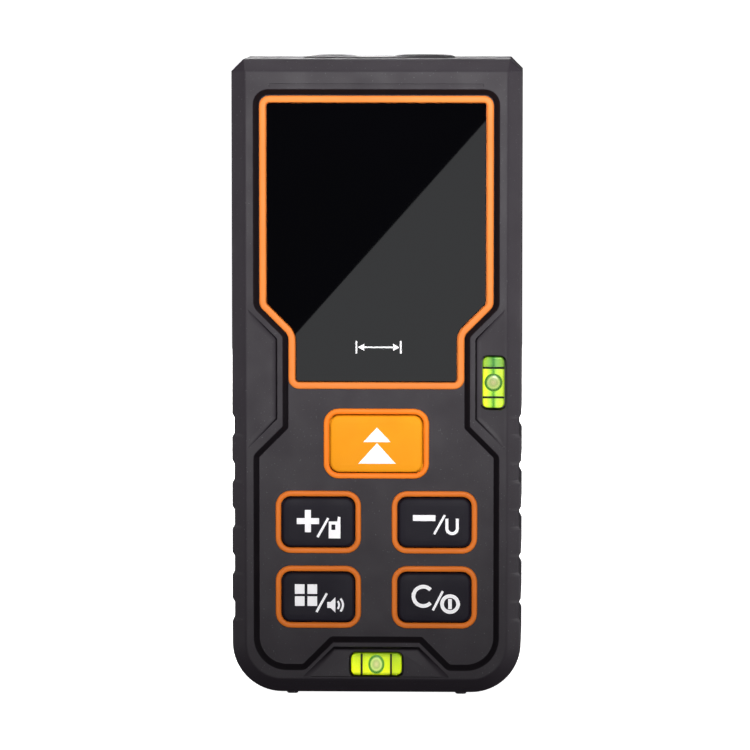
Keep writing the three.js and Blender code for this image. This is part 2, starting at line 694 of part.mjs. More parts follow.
// Built along Z about the local origin with the front face towards -Y.
function vialPieces() {
  const axisY = (VIAL.front + VIAL.back) / 2;
  const half = VIAL.length / 2;
  const clear = VIAL.bore - 0.05;
  const block = plate(roundedRect(0, 0, VIAL.width, VIAL.length, VIAL.corner), VIAL.front, VIAL.back);
  const bore = cylinder('z', VIAL.bore, -half - 1, half - 0.7, 0, axisY, 20);
  const rod = cylinder('z', clear, -half + 0.85, half - 0.75, 0, axisY, 20);
  const race = box(-3, 3, axisY - 3, axisY - 0.25, -10, 10);
  const bubble = new THREE.SphereGeometry(1, 12, 8);
  bubble.scale(1.05, 0.5, 1.35).translate(0, axisY - 0.8, 0);
  return {
    body: block.subtract(bore),
    fluid: rod.subtract(race),
    bubble: solid(bubble),
    plug: cylinder('z', clear, -half, -half + 0.75, 0, axisY, 20),
    retainer: box(-2.9, 2.9, VIAL.back + 0.05, VIAL.back + 0.85, -half - 1, half + 1),
  };
}

const VIAL_LOOKS = { body: CLEAR, fluid: FLUID, bubble: CLEAR, plug: BLACK, retainer: BLACK };
const vialShapes = vialPieces();

for (const { name, x, z, turned } of VIALS) {
  const group = new THREE.Group();
  group.position.set(x, 0, z);
  if (turned) group.rotation.y = Math.PI / 2;
  meter.add(group);
  for (const [piece, look] of Object.entries(VIAL_LOOKS)) {
    node(`${name}_vial_${piece}`, vialShapes[piece], look, group);
  }
}

export default meter;
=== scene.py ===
"""Looks of the laser distance meter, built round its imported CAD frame. Lengths below are in millimetres."""

import math

import bmesh
import bpy
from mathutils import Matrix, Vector
from mathutils.geometry import tessellate_polygon


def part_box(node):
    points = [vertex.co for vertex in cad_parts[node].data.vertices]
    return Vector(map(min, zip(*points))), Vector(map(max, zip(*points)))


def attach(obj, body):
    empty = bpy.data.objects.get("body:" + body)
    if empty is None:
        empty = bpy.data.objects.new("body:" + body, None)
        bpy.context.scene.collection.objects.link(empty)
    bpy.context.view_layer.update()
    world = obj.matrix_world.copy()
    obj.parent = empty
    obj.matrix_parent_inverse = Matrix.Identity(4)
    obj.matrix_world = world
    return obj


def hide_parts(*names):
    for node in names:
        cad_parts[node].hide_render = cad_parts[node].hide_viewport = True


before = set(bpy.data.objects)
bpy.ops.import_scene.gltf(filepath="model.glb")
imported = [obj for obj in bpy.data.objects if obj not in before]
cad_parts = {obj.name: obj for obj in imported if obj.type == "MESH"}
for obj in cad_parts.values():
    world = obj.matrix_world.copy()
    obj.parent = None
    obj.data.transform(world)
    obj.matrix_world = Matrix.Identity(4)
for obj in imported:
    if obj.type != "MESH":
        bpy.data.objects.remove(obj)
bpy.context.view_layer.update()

MM = 0.001


def span(node):
    """A node's lowest and highest corners in millimetres."""
    low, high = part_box(node)
    return low / MM, high / MM


# ---- sizes, read from the frame where a node gives them --------------------------------------

COVER_LOW, COVER_HIGH = span("front_cover")
BEZEL_LOW, BEZEL_HIGH = span("window_bezel")
HALF = COVER_HIGH.x
FRONT = COVER_LOW.y
BACK = span("rear_cover")[1].y
TOP = COVER_HIGH.z
SEAM_FRONT = COVER_HIGH.y
SEAM_REAR = SEAM_FRONT + 0.3
FOOT = {"x": 14.9, "y": 8.4, "width": 2, "length": 5, "height": 0.35}
BASE = COVER_LOW.z + FOOT["height"]

# The body: its walls, the bevel round its face as (inset, depth) pairs, its corners and side notches.
WALL = 1.9
SHELL_FRONT = -10.1
SHELL_BACK = 11.2
LOW_RADIUS = 8.8
SHOULDER = 2.1
BEVEL_WIDTH = 2.5
BEVEL_DROP = 2.1
BEVEL_START = [(0, -10.88), (0.02, -11.0), (0.08, -11.12), (0.2, -11.25), (0.45, -11.442)]
BEVEL_END = [(2.22, -12.787), (2.34, -12.873), (2.46, -12.94), (2.57, -12.982), (2.7, FRONT)]
LIP = 0.12
REAR_ROUND = 2.6
NOTCH = {"count": 5, "first": 15, "pitch": 8.18, "height": 4.1, "floor": 2.7, "depth": 0.45}
SCREWS = [(-19.2, 9.6), (19.2, 9.6), (-20.4, 107.9), (20.4, 107.9)]
SCREW_BORE = 1.1

# The face: the sunk field with its wall as (grow, depth) pairs, its panels, the window's frame and the keys.
FLOOR = -11.9
FIELD_WALL = [
    (0.98, FRONT), (0.9, -12.98), (0.8, -12.92), (0.72, -12.8),
    (0.02, -12.04), (-0.06, -11.94), (-0.14, FLOOR), (-0.2, FLOOR),
]
PANEL = {"inner": 17.4, "outer": 22.74, "foot": 49, "head": 63.2, "depth": 0.58}
FOOT_PANEL = {"top": 8.67, "bottom": 3.25, "sum": 16.2, "depth": 0.72}
BROW = {"half": 18.8, "bottom": 107.36, "top": 107.95, "depth": 0.12}
BEZEL = {"width": 1.22, "sill": -11.95, "bend": -12.2, "seat": -11.05}
KEY_NAMES = ["measure", "plus", "minus", "mode", "clear"]
RING = {"width": 1.0, "radius": 2.7}
KEY = {"gap": 0.2, "radius": 1.6, "flange_front": -9.9, "flange_back": -9.15, "stem": 1.4}

# The levels, seen along their length.
LIQUID_FRONT = -11.98
BUBBLE_Y = -12.14
LEVEL_LINES = {"from_middle": 2.6, "width": 0.37, "front": 0.02, "back": 0.08}

# The measuring end, the battery door with its hooks and grips, and the bay behind it.
OPTICS_Y = 1.5
NOSE = {"half": 13.4, "deep": 6, "low": 110.3, "opening": (105, 115)}
LASER = {"x": -8, "bore": 2.6, "foot": 5.2}
RECEIVER = {"x": 8, "bore": 4.3, "foot": 5.65}
DOOR = {"half": 14, "bottom": 6.2, "top": 59.2, "front": 11.5, "tab": 5, "tab_top": 62.6}
HOOK = {"x": 8.3, "half": 1.3, "slot_half": 1.6}
GRIPS = {"count": 4, "first": 50.5, "pitch": 2.1, "longest": 13, "shorter": 1.6, "height": 0.9}
BAY = {"z": 32.75, "width": 22.6, "height": 50.1, "floor": -0.2, "back": -1.4}
LEDGE_FRONT = 10

# The viewpoint: far off, a little to the right and above the middle of the body.
AIM = Vector((-0.21, FRONT, 56.83))
ELEVATION = math.radians(5)
AZIMUTH = math.radians(2)
DISTANCE = 887
EYE = AIM + Vector((math.sin(AZIMUTH), -math.cos(AZIMUTH), math.tan(ELEVATION))).normalized() * DISTANCE

LEAST_RADIUS = 0.04
SMOOTH_BELOW = 38


# ---- outlines ----------------------------------------------------------------------------------

def mirrored(right):
    """The right side's corners from bottom to top, then the same mirrored down the left side."""
    return [*right, *[(-x, z, radius) for x, z, radius in reversed(right)]]


def corner_steps(radius):
    """How many segments an arc of this radius is drawn with."""
    for limit, steps in [(0.45, 3), (1.2, 5), (3, 8)]:
        if radius < limit:
            return steps
    return 20


def outline(corners, grow=0.0):
    """The points of a closed anticlockwise outline through corners (x, z, radius), moved outward by grow."""
    points = []
    for index, (x, z, radius) in enumerate(corners):
        here = Vector((x, z))
        into = (here - Vector(corners[index - 1][:2])).normalized()
        out = (Vector(corners[(index + 1) % len(corners)][:2]) - here).normalized()
        side_in = Vector((into.y, -into.x))
        side_out = Vector((out.y, -out.x))
        moved = here + (side_in + side_out) * (grow / (1 + side_in.dot(side_out)))
        turn = math.atan2(into.x * out.y - into.y * out.x, into.dot(out))
        if radius == 0:
            points.append(moved)
            continue
        steps = corner_steps(radius)
        if abs(turn) < 1e-4:
            points += [moved + into * (0.02 * (k - steps / 2)) for k in range(steps + 1)]
            continue
        left = math.copysign(1, turn)
        bend = left * max(radius + left * grow, LEAST_RADIUS)
        start = moved - into * (abs(bend) * math.tan(abs(turn) / 2))
        centre = start - side_in * bend
        for k in range(steps + 1):
            angle = turn * k / steps
            c, s = math.cos(angle), math.sin(angle)
            arm = side_in * bend
            points.append(centre + Vector((arm.x * c - arm.y * s, arm.x * s + arm.y * c)))
    return points


def rounded_box(x, z, width, height, radius):
    """Corners of a rounded rectangle round (x, z)."""
    half_w, half_h = width / 2, height / 2
    signs = [(1, -1), (1, 1), (-1, 1), (-1, -1)]
    return [(x + sx * half_w, z + sz * half_h, radius) for sx, sz in signs]


def circle(x, z, radius, count=32):
    """The points of a circle, anticlockwise."""
    turns = [2 * math.pi * k / count for k in range(count)]
    return [Vector((x + radius * math.cos(a), z + radius * math.sin(a))) for a in turns]


def ease(start, end, steps=4, depth_first=True):
    """A quarter-round run of (grow, depth) pairs from start to end."""
    run = [start]
    for k in range(1, steps + 1):
        angle = math.pi / 2 * k / steps
        fast, slow = math.sin(angle), 1 - math.cos(angle)
        if not depth_first:
            fast, slow = slow, fast
        run.append((start[0] + (end[0] - start[0]) * slow, start[1] + (end[1] - start[1]) * fast))
    return run


def front_box(node):
    """Centre and size of a node as seen from the front."""
    low, high = span(node)
    return (low.x + high.x) / 2, (low.z + high.z) / 2, high.x - low.x, high.z - low.z


# ---- surfaces ----------------------------------------------------------------------------------

def facing(u, v, depth):
    """Outlines in X and Z, stacked along Y."""
    return (u, depth, v)


def upright(u, v, depth):
    """Outlines in X and Y, stacked along Z."""
    return (u, v, depth)


def sideways(u, v, depth):
    """Outlines in Y and Z, stacked along X."""
    return (depth, u, v)


class Skin:
    """A surface made of stacked loops: walls join loops of equal length, and fills close flat ones."""

    def __init__(self, place=facing):
        self.place = place
        self.flat = []
        self.verts = []
        self.faces = []

    def loop(self, points, depth):
        """Adds a loop; depth is a number, or a function of a point. Returns its vertex numbers."""
        start = len(self.verts)
        for point in points:
            level = depth(point) if callable(depth) else depth
            self.flat.append((point[0], point[1]))
            self.verts.append(self.place(point[0], point[1], level))
        return list(range(start, len(self.verts)))

    def wall(self, first, second):
        for k, low in enumerate(first):
            following = (k + 1) % len(first)
            self.faces.append(((low, first[following], second[following], second[k]), True))

    def join(self, loops):
        """Walls between each loop and the next. Returns the first and last loops."""
        for first, second in zip(loops, loops[1:]):
            self.wall(first, second)
        return loops[0], loops[-1]

    def stack(self, corners, run):
        """Walls through the outline at each (grow, depth) of run. Returns the first and last loops."""
        return self.join([self.loop(outline(corners, grow), depth) for grow, depth in run])

    def tube(self, x, z, run, count=32):
        """As stack, with circles; run holds (radius, depth) pairs."""
        return self.join([self.loop(circle(x, z, radius, count), depth) for radius, depth in run])

    def fill(self, *loops):
        """A flat face inside the first loop and outside the others."""
        rings = [[Vector((*self.flat[k], 0)) for k in loop] for loop in loops]
        numbers = [k for loop in loops for k in loop]
        for triangle in tessellate_polygon(rings):
            self.faces.append((tuple(numbers[k] for k in triangle), False))

    def mesh(self, name, smooth_below=SMOOTH_BELOW):
        """The faces as a mesh, with sharp edges where they meet at smooth_below degrees or more."""
        data = bpy.data.meshes.new(name)
        data.from_pydata([Vector(v) * MM for v in self.verts], [], [face for face, _ in self.faces])
        for polygon, (_, smooth) in zip(data.polygons, self.faces):
            polygon.use_smooth = smooth
        work = bmesh.new()
        work.from_mesh(data)
        bmesh.ops.remove_doubles(work, verts=work.verts, dist=1e-7)
        bmesh.ops.dissolve_degenerate(work, dist=1e-8, edges=work.edges)
        bmesh.ops.recalc_face_normals(work, faces=work.faces)
        mark_sharp(work, smooth_below)
        work.to_mesh(data)
        work.free()
        return data

    def solid(self, ends, name):
        """The mesh with both end loops filled."""
        for end in ends:
            self.fill(end)
        return self.mesh(name)


def mark_sharp(work, degrees):
    """Marks the edges whose faces meet at this angle or more."""
    for edge in work.edges:
        if len(edge.link_faces) == 2:
            edge.smooth = edge.calc_face_angle(0) < math.radians(degrees)


def add(name, data, material=None):
    shown = bpy.data.objects.new(name, data)
    bpy.context.scene.collection.objects.link(shown)
    if material:
        data.materials.append(material)
    return shown


def piece(name, data, material, body, slot, *nodes):
    """An object of the assembly that rides on a body, takes a finish and stands for CAD nodes; slot is not
    used.
    """
    shown = add(name, data, material)
    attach(shown, body)
    if nodes:
        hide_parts(*nodes)


def combine(data, operation, *tools):
    """The mesh after joining or cutting it with closed tool meshes."""
    base = add("base", data)
    for tool_data in tools:
        tool = add("tool", tool_data)
        step = base.modifiers.new("step", "BOOLEAN")
        step.operation = operation
        step.solver = "EXACT"
        step.object = tool
        graph = bpy.context.evaluated_depsgraph_get()
        result = bpy.data.meshes.new_from_object(base.evaluated_get(graph))
        base.modifiers.clear()
        base.data = result
        bpy.data.objects.remove(tool)
    result = base.data
    bpy.data.objects.remove(base)
    work = bmesh.new()
    work.from_mesh(result)
    mark_sharp(work, SMOOTH_BELOW)
    work.to_mesh(result)
    work.free()
    return result


def block(corners, run, place=facing):
    """A closed solid: the outline stacked through run, with both ends filled."""
    skin = Skin(place)
    return skin.solid(skin.stack(corners, run), "block")


def box(x0, x1, y0, y1, z0, z1):
    corners = [(x1, z0, 0), (x1, z1, 0), (x0, z1, 0), (x0, z0, 0)]
    return block(corners, [(0, y0), (0, y1)])


def rod(x, z, run, place=facing, count=32):
    """A closed round solid through (radius, depth) pairs."""
    skin = Skin(place)
    return skin.solid(skin.tube(x, z, run, count), "rod")


# ---- materials ---------------------------------------------------------------------------------

BLACKEST = (0, 0, 0)
WHITEST = (1, 1, 1)


class Finish:
    """A Principled material whose colour, roughness and relief can be varied by procedural patterns."""

    def __init__(self, name, colour, roughness, **sockets):
        self.material = bpy.data.materials.new(name)
        self.material.use_nodes = True
        self.tree = self.material.node_tree
        self.shader = self.tree.nodes["Principled BSDF"]
        self.colour = colour
        self.shader.inputs["Base Color"].default_value = (*colour, 1)
        self.shader.inputs["Roughness"].default_value = roughness
        for socket, value in sockets.items():
            self.shader.inputs[socket.replace("_", " ")].default_value = value
        self.place = self.tree.nodes.new("ShaderNodeTexCoord").outputs["Object"]
        self.shade = None
        self.relief = None

    def node(self, kind, **settings):
        made = self.tree.nodes.new(kind)
        for name, value in settings.items():
            setattr(made, name, value)
        return made

    def link(self, source, target):
        self.tree.links.new(source, target)

    def noise(self, size, detail=2.0, stretch=(1, 1, 1)):
        """Noise whose features are about size millimetres wide."""
        mapping = self.node("ShaderNodeMapping")
        mapping.inputs["Scale"].default_value = [k / (size * MM) for k in stretch]
        self.link(self.place, mapping.inputs["Vector"])
        noise = self.node("ShaderNodeTexNoise")
        noise.inputs["Scale"].default_value = 1
        noise.inputs["Detail"].default_value = detail
        self.link(mapping.outputs["Vector"], noise.inputs["Vector"])
        return noise.outputs["Fac"]

    def axes(self, vector):
        """The X, Y and Z sockets of a vector socket."""
        split = self.node("ShaderNodeSeparateXYZ")
        self.link(vector, split.inputs["Vector"])
        return split.outputs

    def spread(self, source, low, high, start=0.0, end=1.0):
        """The socket's range from low to high taken to the range from start to end."""
        spread = self.node("ShaderNodeMapRange")
        for name, value in {"From Min": low, "From Max": high, "To Min": start, "To Max": end}.items():
            spread.inputs[name].default_value = value
        self.link(source, spread.inputs["Value"])
        return spread.outputs["Result"]

    def bands(self, source, stops):
        """The colours of stops (place, colour), blended along the socket's value."""
        ramp = self.node("ShaderNodeValToRGB")
        elements = ramp.color_ramp.elements
        while len(elements) < len(stops):
            elements.new(0.5)
        for element, (place, colour) in zip(elements, stops):
            element.position = place
            element.color = (*colour, 1)
        self.link(source, ramp.inputs["Fac"])
        return ramp.outputs["Color"]

    def paint(self, shade):
        """Takes the base colour from a socket."""
        self.shade = shade
        self.link(shade, self.shader.inputs["Base Color"])

    def cover(self, factor, colour):
        """Lays a colour over the base colour where the factor is 1."""
        mix = self.node("ShaderNodeMix", data_type="RGBA")
        self.link(factor, mix.inputs["Factor"])
        self.link(self.shade, mix.inputs["A"])
        mix.inputs["B"].default_value = (*colour, 1)
        self.paint(mix.outputs["Result"])

    def painted_glow(self, strength):
        """Gives off a little of the base colour: painted light, standing in for the light that shines through
        a clear body.
        """
        self.link(self.shade, self.shader.inputs["Emission Color"])
        self.shader.inputs["Emission Strength"].default_value = strength

    def mottle(self, size, amount, detail=3.0):
        """Colour that drifts darker and lighter by amount."""
        dark = [k * (1 - amount) for k in self.colour]
        light = [min(k * (1 + amount), 1) for k in self.colour]
        self.paint(self.bands(self.noise(size, detail), [(0.3, dark), (0.7, light)]))
        return self

    def specks(self, size, colour, share=0.72):
        """Scattered small light grains over the colour."""
        self.cover(self.bands(self.noise(size, 1.0), [(share, BLACKEST), (share + 0.05, WHITEST)]), colour)
        return self

    def grain(self, size, height, detail=2.0, stretch=(1, 1, 1)):
        """Surface relief: size is the grain's width and height its depth, both in millimetres."""
        bump = self.node("ShaderNodeBump")
        bump.inputs["Strength"].default_value = 1
        bump.inputs["Distance"].default_value = height * MM
        self.link(self.noise(size, detail, stretch), bump.inputs["Height"])
        if self.relief:
            self.link(self.relief, bump.inputs["Normal"])
        self.relief = bump.outputs["Normal"]
        self.link(self.relief, self.shader.inputs["Normal"])
        return self

    def wear(self, size, low, high):
        """Roughness that drifts between low and high."""
        self.link(self.spread(self.noise(size, 3.0), 0.3, 0.7, low, high), self.shader.inputs["Roughness"])
        return self

    def paint_shade_on_steep_walls(self, rim, top, share):
        """Painted shade: darkens the colour and dims the shine of the front face's steep walls that lie below
        top and further than rim from the outline.
        """
        place = self.axes(self.place)
        normal = self.axes(self.node("ShaderNodeNewGeometry").outputs["Normal"])
        side = self.maths("SUBTRACT", self.maths("ABSOLUTE", place["X"]), (HALF - LOW_RADIUS) * MM)
        out = self.maths("MAXIMUM", side, 0)
        down = self.maths("MAXIMUM", self.maths("SUBTRACT", (BASE + LOW_RADIUS) * MM, place["Z"]), 0)
        away = self.maths("SQRT", self.maths("MULTIPLY_ADD", out, out, self.maths("MULTIPLY", down, down)))
        painted_shade_mask = self.maths("LESS_THAN", away, (LOW_RADIUS - rim) * MM)
        painted_shade_mask = self.maths("MULTIPLY", painted_shade_mask, self.maths("LESS_THAN", place["Z"], top * MM))
        painted_shade_mask = self.maths("MULTIPLY", painted_shade_mask, self.maths("LESS_THAN", place["Y"], SHELL_FRONT * MM))
        steep = self.spread(self.maths("MULTIPLY", normal["Y"], -1), 0.94, 0.8)
        painted_shade_mask = self.maths("MULTIPLY", painted_shade_mask, steep)
        self.cover(painted_shade_mask, [k * share for k in self.colour])
        shine = self.shader.inputs["Specular IOR Level"].default_value
        painted_shade_shine = self.maths("MULTIPLY_ADD", painted_shade_mask, shine * (share - 1), shine)
        self.link(painted_shade_shine, self.shader.inputs["Specular IOR Level"])
        return self

    def maths(self, operation, *values):
        """A maths node's result; each value is a socket or a number."""
        sums = self.node("ShaderNodeMath", operation=operation)
        for socket, value in zip(sums.inputs, values):
            if isinstance(value, (int, float)):
                socket.default_value = value
            else:
                self.link(value, socket)
        return sums.outputs["Value"]

    def lets_lamps_through(self):
        """Glass that doesn't shade what is behind it from the lamps."""
        output = self.tree.nodes["Material Output"]
        path = self.node("ShaderNodeLightPath")
        clear = self.node("ShaderNodeBsdfTransparent")
        mix = self.node("ShaderNodeMixShader")
        self.link(path.outputs["Is Shadow Ray"], mix.inputs[0])
        self.link(self.shader.outputs[0], mix.inputs[1])
        self.link(clear.outputs[0], mix.inputs[2])
        self.link(mix.outputs[0], output.inputs["Surface"])
        return self


def moulded(name, colour, low, high, grain=0.16, height=0.012, shine=0.45):
    """Injection-moulded plastic with a spark-eroded grain."""
    plain = Finish(name, colour, (low + high) / 2, Specular_IOR_Level=shine)
    return plain.mottle(9, 0.06).grain(grain, height).wear(6, low, high)


def metal(name, colour, low, high, stretch=(1, 1, 1)):
    brushed = Finish(name, colour, (low + high) / 2, Metallic=1.0).mottle(4, 0.08)
    return brushed.grain(0.2, 0.003, 2.0, stretch).wear(1.5, low, high)


HOUSING = moulded("housing", (0.0235, 0.0185, 0.0245), 0.56, 0.66, 0.16, 0.012, 0.34)
# The housing's steep recess walls get painted shade.
HOUSING = HOUSING.specks(0.3, (0.06, 0.058, 0.064)).paint_shade_on_steep_walls(2.85, 108.9, 0.36).material
HOUSING_SMOOTH = moulded("nose", (0.03, 0.027, 0.03), 0.5, 0.6, 0.3, 0.004, 0.3).material
BEZEL_ORANGE = moulded("bezel_orange", (0.86, 0.235, 0.04), 0.42, 0.52, 0.5, 0.003, 0.13).material
RING_ORANGE = moulded("ring_orange", (0.8, 0.19, 0.02), 0.44, 0.54, 0.5, 0.003, 0.16).material
MEASURE_RING = moulded("measure_ring", (0.97, 0.23, 0.014), 0.44, 0.54, 0.5, 0.003, 0.14).material
KEY_ORANGE = moulded("key_orange", (0.98, 0.35, 0.01), 0.6, 0.7, 0.4, 0.004, 0.1).material
KEY_BLACK = moulded("key_black", (0.0098, 0.0078, 0.0145), 0.58, 0.68, 0.35, 0.006, 0.19).material
# White print that also gives off a faint painted glow.
PRINT_WITH_PAINTED_GLOW = Finish("legend_print_painted_glow", (0.97, 0.95, 0.98), 0.6, Emission_Color=(1, 1, 1, 1), Emission_Strength=0.12)
PRINT_WITH_PAINTED_GLOW = PRINT_WITH_PAINTED_GLOW.mottle(0.8, 0.03).grain(0.3, 0.002).material
WINDOW = Finish("window", (0.0003, 0.0003, 0.0008), 0.012, IOR=1.5)
WINDOW = WINDOW.mottle(30, 0.2).wear(12, 0.008, 0.014).material
BLACK = moulded("black_plastic", (0.012, 0.012, 0.013), 0.45, 0.6).material
LEVEL_PRINT = moulded("level_print", (0.0015, 0.006, 0.0015), 0.7, 0.8, 0.3, 0.002, 0.03).material
SILICONE = moulded("silicone", (0.09, 0.092, 0.1), 0.6, 0.75, 0.3, 0.004).material
WHITE = moulded("white_plastic", (0.8, 0.81, 0.82), 0.4, 0.5, 0.4, 0.003).material
STEEL = metal("screw_steel", (0.42, 0.42, 0.43), 0.28, 0.42).material
PLATED = metal("plated_steel", (0.62, 0.61, 0.58), 0.2, 0.34, (6, 1, 1)).material
BRASS = metal("brass", (0.62, 0.42, 0.16), 0.22, 0.36, (1, 1, 8)).material
CELL_STEEL = metal("cell_steel", (0.66, 0.66, 0.66), 0.2, 0.3).material
FLEX = Finish("flex", (0.42, 0.16, 0.03), 0.35).mottle(1.2, 0.15).grain(0.8, 0.01, 1.0, (4, 1, 1)).material
GLASS = Finish("clear_glass", (0.93, 0.96, 0.97), 0.02, IOR=1.5, Transmission_Weight=1.0)
GLASS = GLASS.wear(8, 0.01, 0.04).lets_lamps_through().material
ACRYLIC = Finish("clear_acrylic", (0.97, 0.99, 0.9), 0.03, IOR=1.36, Transmission_Weight=1.0)
ACRYLIC = ACRYLIC.wear(2, 0.02, 0.06).lets_lamps_through().material


def circuit_board():
    """Green solder mask with a lattice of tracks and pads."""
    finish = Finish("circuit_board", (0.012, 0.085, 0.03), 0.35).mottle(3, 0.25)
    mapping = finish.node("ShaderNodeMapping")
    mapping.inputs["Scale"].default_value = (1 / (2.4 * MM),) * 3
    finish.link(finish.place, mapping.inputs["Vector"])
    pads = finish.node("ShaderNodeTexVoronoi", distance="CHEBYCHEV")
    pads.inputs["Scale"].default_value = 1
    pads.inputs["Randomness"].default_value = 0.75
    finish.link(mapping.outputs["Vector"], pads.inputs["Vector"])
    near_pads = finish.bands(pads.outputs["Distance"], [(0.1, WHITEST), (0.13, BLACKEST)])
    finish.cover(near_pads, (0.55, 0.46, 0.3))
    return finish.grain(0.6, 0.01, 1.0).material


def cell_wrap():
    """A plain dark blue sleeve with a lacquered sheen."""
    finish = Finish("cell_wrap", (0.02, 0.07, 0.2), 0.28, Coat_Weight=0.4, Coat_Roughness=0.1)
    return finish.mottle(2, 0.1).grain(4, 0.01, 1.0).wear(5, 0.22, 0.34).material


CIRCUIT = circuit_board()
CELL_WRAP = cell_wrap()


# ---- housing -----------------------------------------------------------------------------------

def body_corners(inset=0.0, notch=0.0):
    """The body seen from the front, drawn in by inset: notched sides, cut shoulders, round lower corners."""
    side = HALF - inset
    right = [(side, BASE + inset, LOW_RADIUS - inset)]
    for k in range(NOTCH["count"]):
        middle = NOTCH["first"] + k * NOTCH["pitch"]
        mouth, floor = NOTCH["height"] / 2, NOTCH["floor"] / 2
        right += [(side, middle - mouth, 0.3), (side - notch, middle - floor, 0.3)]
        right += [(side - notch, middle + floor, 0.3), (side, middle + mouth, 0.3)]
    top = TOP - inset * BEVEL_DROP / BEVEL_WIDTH
    cut = max(SHOULDER * (1 - inset / BEVEL_WIDTH), 0.05)
    right += [(side, top - cut, 0.012), (side - cut, top, 0.012)]
    return mirrored(right)


def body_stack(skin, run):
    """Walls through the body's outline at each (inset, depth); the notches fade as the edge is drawn in."""
    loops = []
    for inset, depth in run:
        notch = max(NOTCH["depth"] - max(inset, 0), 0)
        loops.append(skin.loop(outline(body_corners(inset, notch)), depth))
    return skin.join(loops)


def shell_half(skin, seam, run, inside):
    """A half of the housing: outer walls from its seam through run, and a hollow as deep as inside.

    Returns the last outer loop and the loop round the hollow's floor.
    """
    lip = ease((LIP, seam), (0, seam + math.copysign(LIP, inside)), 3, False)
    seam_edge, outer = body_stack(skin, lip + run)
    hollow = outline(body_corners(WALL))
    inner_rim, inner = skin.loop(hollow, seam), skin.loop(hollow, inside)
    skin.wall(seam_edge, inner_rim)
    skin.wall(inner_rim, inner)
    return outer, inner


FIELD = mirrored([
    (8, 10.25, 0.8),
    (12.95, 5.3, 0.8),
    (20.75, 5.3, 5),
    (20.75, 42.2, 0.6),
    (15.6, 47.35, 0.7),
    (15.6, 63.9, 1.9),
    (20.75, 69.05, 1.5),
    (20.75, 106.08, 1.8),
])
WINDOW_OUTLINE = mirrored([
    (15.5, 54.25, 1.9),
    (15.5, 63.75, 2.2),
    (20.6, 68.85, 2.0),
    (20.6, 105.85, 1.8),
])


def side_panel(skin, side):
    """A sunk panel beside the waist; it slopes up to the border's edge. Returns its rim in the border."""
    reach = PANEL["outer"] - PANEL["inner"]
    right = [
        (PANEL["inner"], PANEL["foot"], 0.5),
        (PANEL["outer"], PANEL["foot"] - reach, 0.1),
        (PANEL["outer"], PANEL["head"] + reach, 0.1),
        (PANEL["inner"], PANEL["head"], 0.9),
    ]
    corners = right if side > 0 else [(-x, z, radius) for x, z, radius in reversed(right)]

    def depth(share):
        def level(point):
            out = (PANEL["outer"] - abs(point[0])) / reach
            return FRONT + PANEL["depth"] * share * min(max(out, 0), 1)
        return level

    run = [(0, 0), (-0.05, 0.15), (-0.26, 0.66), (-0.34, 0.75), (-0.8, 0.96), (-1.0, 1)]
    rim, edge = skin.stack(corners, [(grow, depth(share)) for grow, share in run])
    skin.fill(edge)
    return rim


def foot_panel(skin):
    """The trapezoid panel round the lower level; it comes up to the border at its foot."""
    top, bottom = FOOT_PANEL["top"], FOOT_PANEL["bottom"]
    corners = mirrored([(FOOT_PANEL["sum"] - bottom, bottom, 0.15), (FOOT_PANEL["sum"] - top, top, 0.4)])
    corners = corners[-1:] + corners[:-1]

    def depth(share, extra=0.0):
        def level(point):
            up = (point[1] - bottom) / (top - bottom)
            return FRONT + 0.02 + extra + FOOT_PANEL["depth"] * share * min(max(up, 0) ** 0.5, 1)
        return level

    run = [(-0.06, 0.12), (-0.5, 0.84), (-0.6, 0.95), (-0.8, 1)]
    loops = [skin.loop(outline(corners), FRONT)]
    loops += [skin.loop(shrunk_keeping_foot(corners, grow, bottom), depth(share)) for grow, share in run]
    rim, floor = skin.join(loops)
    x, z, width, height = front_box("horizontal_vial_body")
    mouth = rounded_box(x, z, width + 0.5, height + 0.44, 1.1)
    mouth_run = [(0.16, depth(1)), (0.03, depth(1, 0.08)), (0, depth(1, 0.25)), (0, SHELL_FRONT)]
    mouth_rim, mouth_end = skin.stack(mouth, mouth_run)
    skin.fill(floor, mouth_rim)
    return rim, mouth_end


def shrunk_keeping_foot(corners, grow, bottom):
    """The outline drawn in on all sides but the foot, which moves in only a little."""
    points = outline(corners, grow)
    lowest = min(point[1] for point in points)
    highest = max(point[1] for point in points)
    kept = bottom - grow * 0.05
    scale = (highest - kept) / (highest - lowest)
    return [Vector((point[0], highest - (highest - point[1]) * scale)) for point in points]


def brow_strip(skin):
    """The shallow facet over the window that tilts up between two fine lines."""
    middle = (BROW["bottom"] + BROW["top"]) / 2
    corners = rounded_box(0, middle, 2 * BROW["half"], BROW["top"] - BROW["bottom"], 0.1)

    def level(point):
        return FRONT + BROW["depth"] * max(point[1] - BROW["bottom"], 0) / (BROW["top"] - BROW["bottom"])

    rim = skin.loop(outline(corners), FRONT)
    edge = skin.loop(outline(corners, -0.05), level)
    skin.wall(rim, edge)
    skin.fill(edge)
    return rim


def boss(skin, x, z, radius, near, far, bore_end):
    """A screw boss from the shell's inside at near to the seam at far, bored out to bore_end."""
    rim, face = skin.tube(x, z, [(radius, near), (radius, far)])
    mouth, bottom = skin.tube(x, z, [(SCREW_BORE, far), (SCREW_BORE, bore_end)])
    skin.fill(face, mouth)
    skin.fill(bottom)
    return rim


def field_holes(skin):
    """The openings in the field's floor for the window and the keys, as pairs of front and back rims."""
    holes = [skin.stack(WINDOW_OUTLINE, [(-0.3, FLOOR), (-0.3, SHELL_FRONT)])]
    for name in KEY_NAMES:
        x, z, width, height = front_box(f"{name}_key_ring")
        inset = 2 * (RING["width"] - 0.1)
        hole = rounded_box(x, z, width - inset, height - inset, 1.8)
        holes.append(skin.stack(hole, [(0, FLOOR), (0, SHELL_FRONT)]))
    return holes


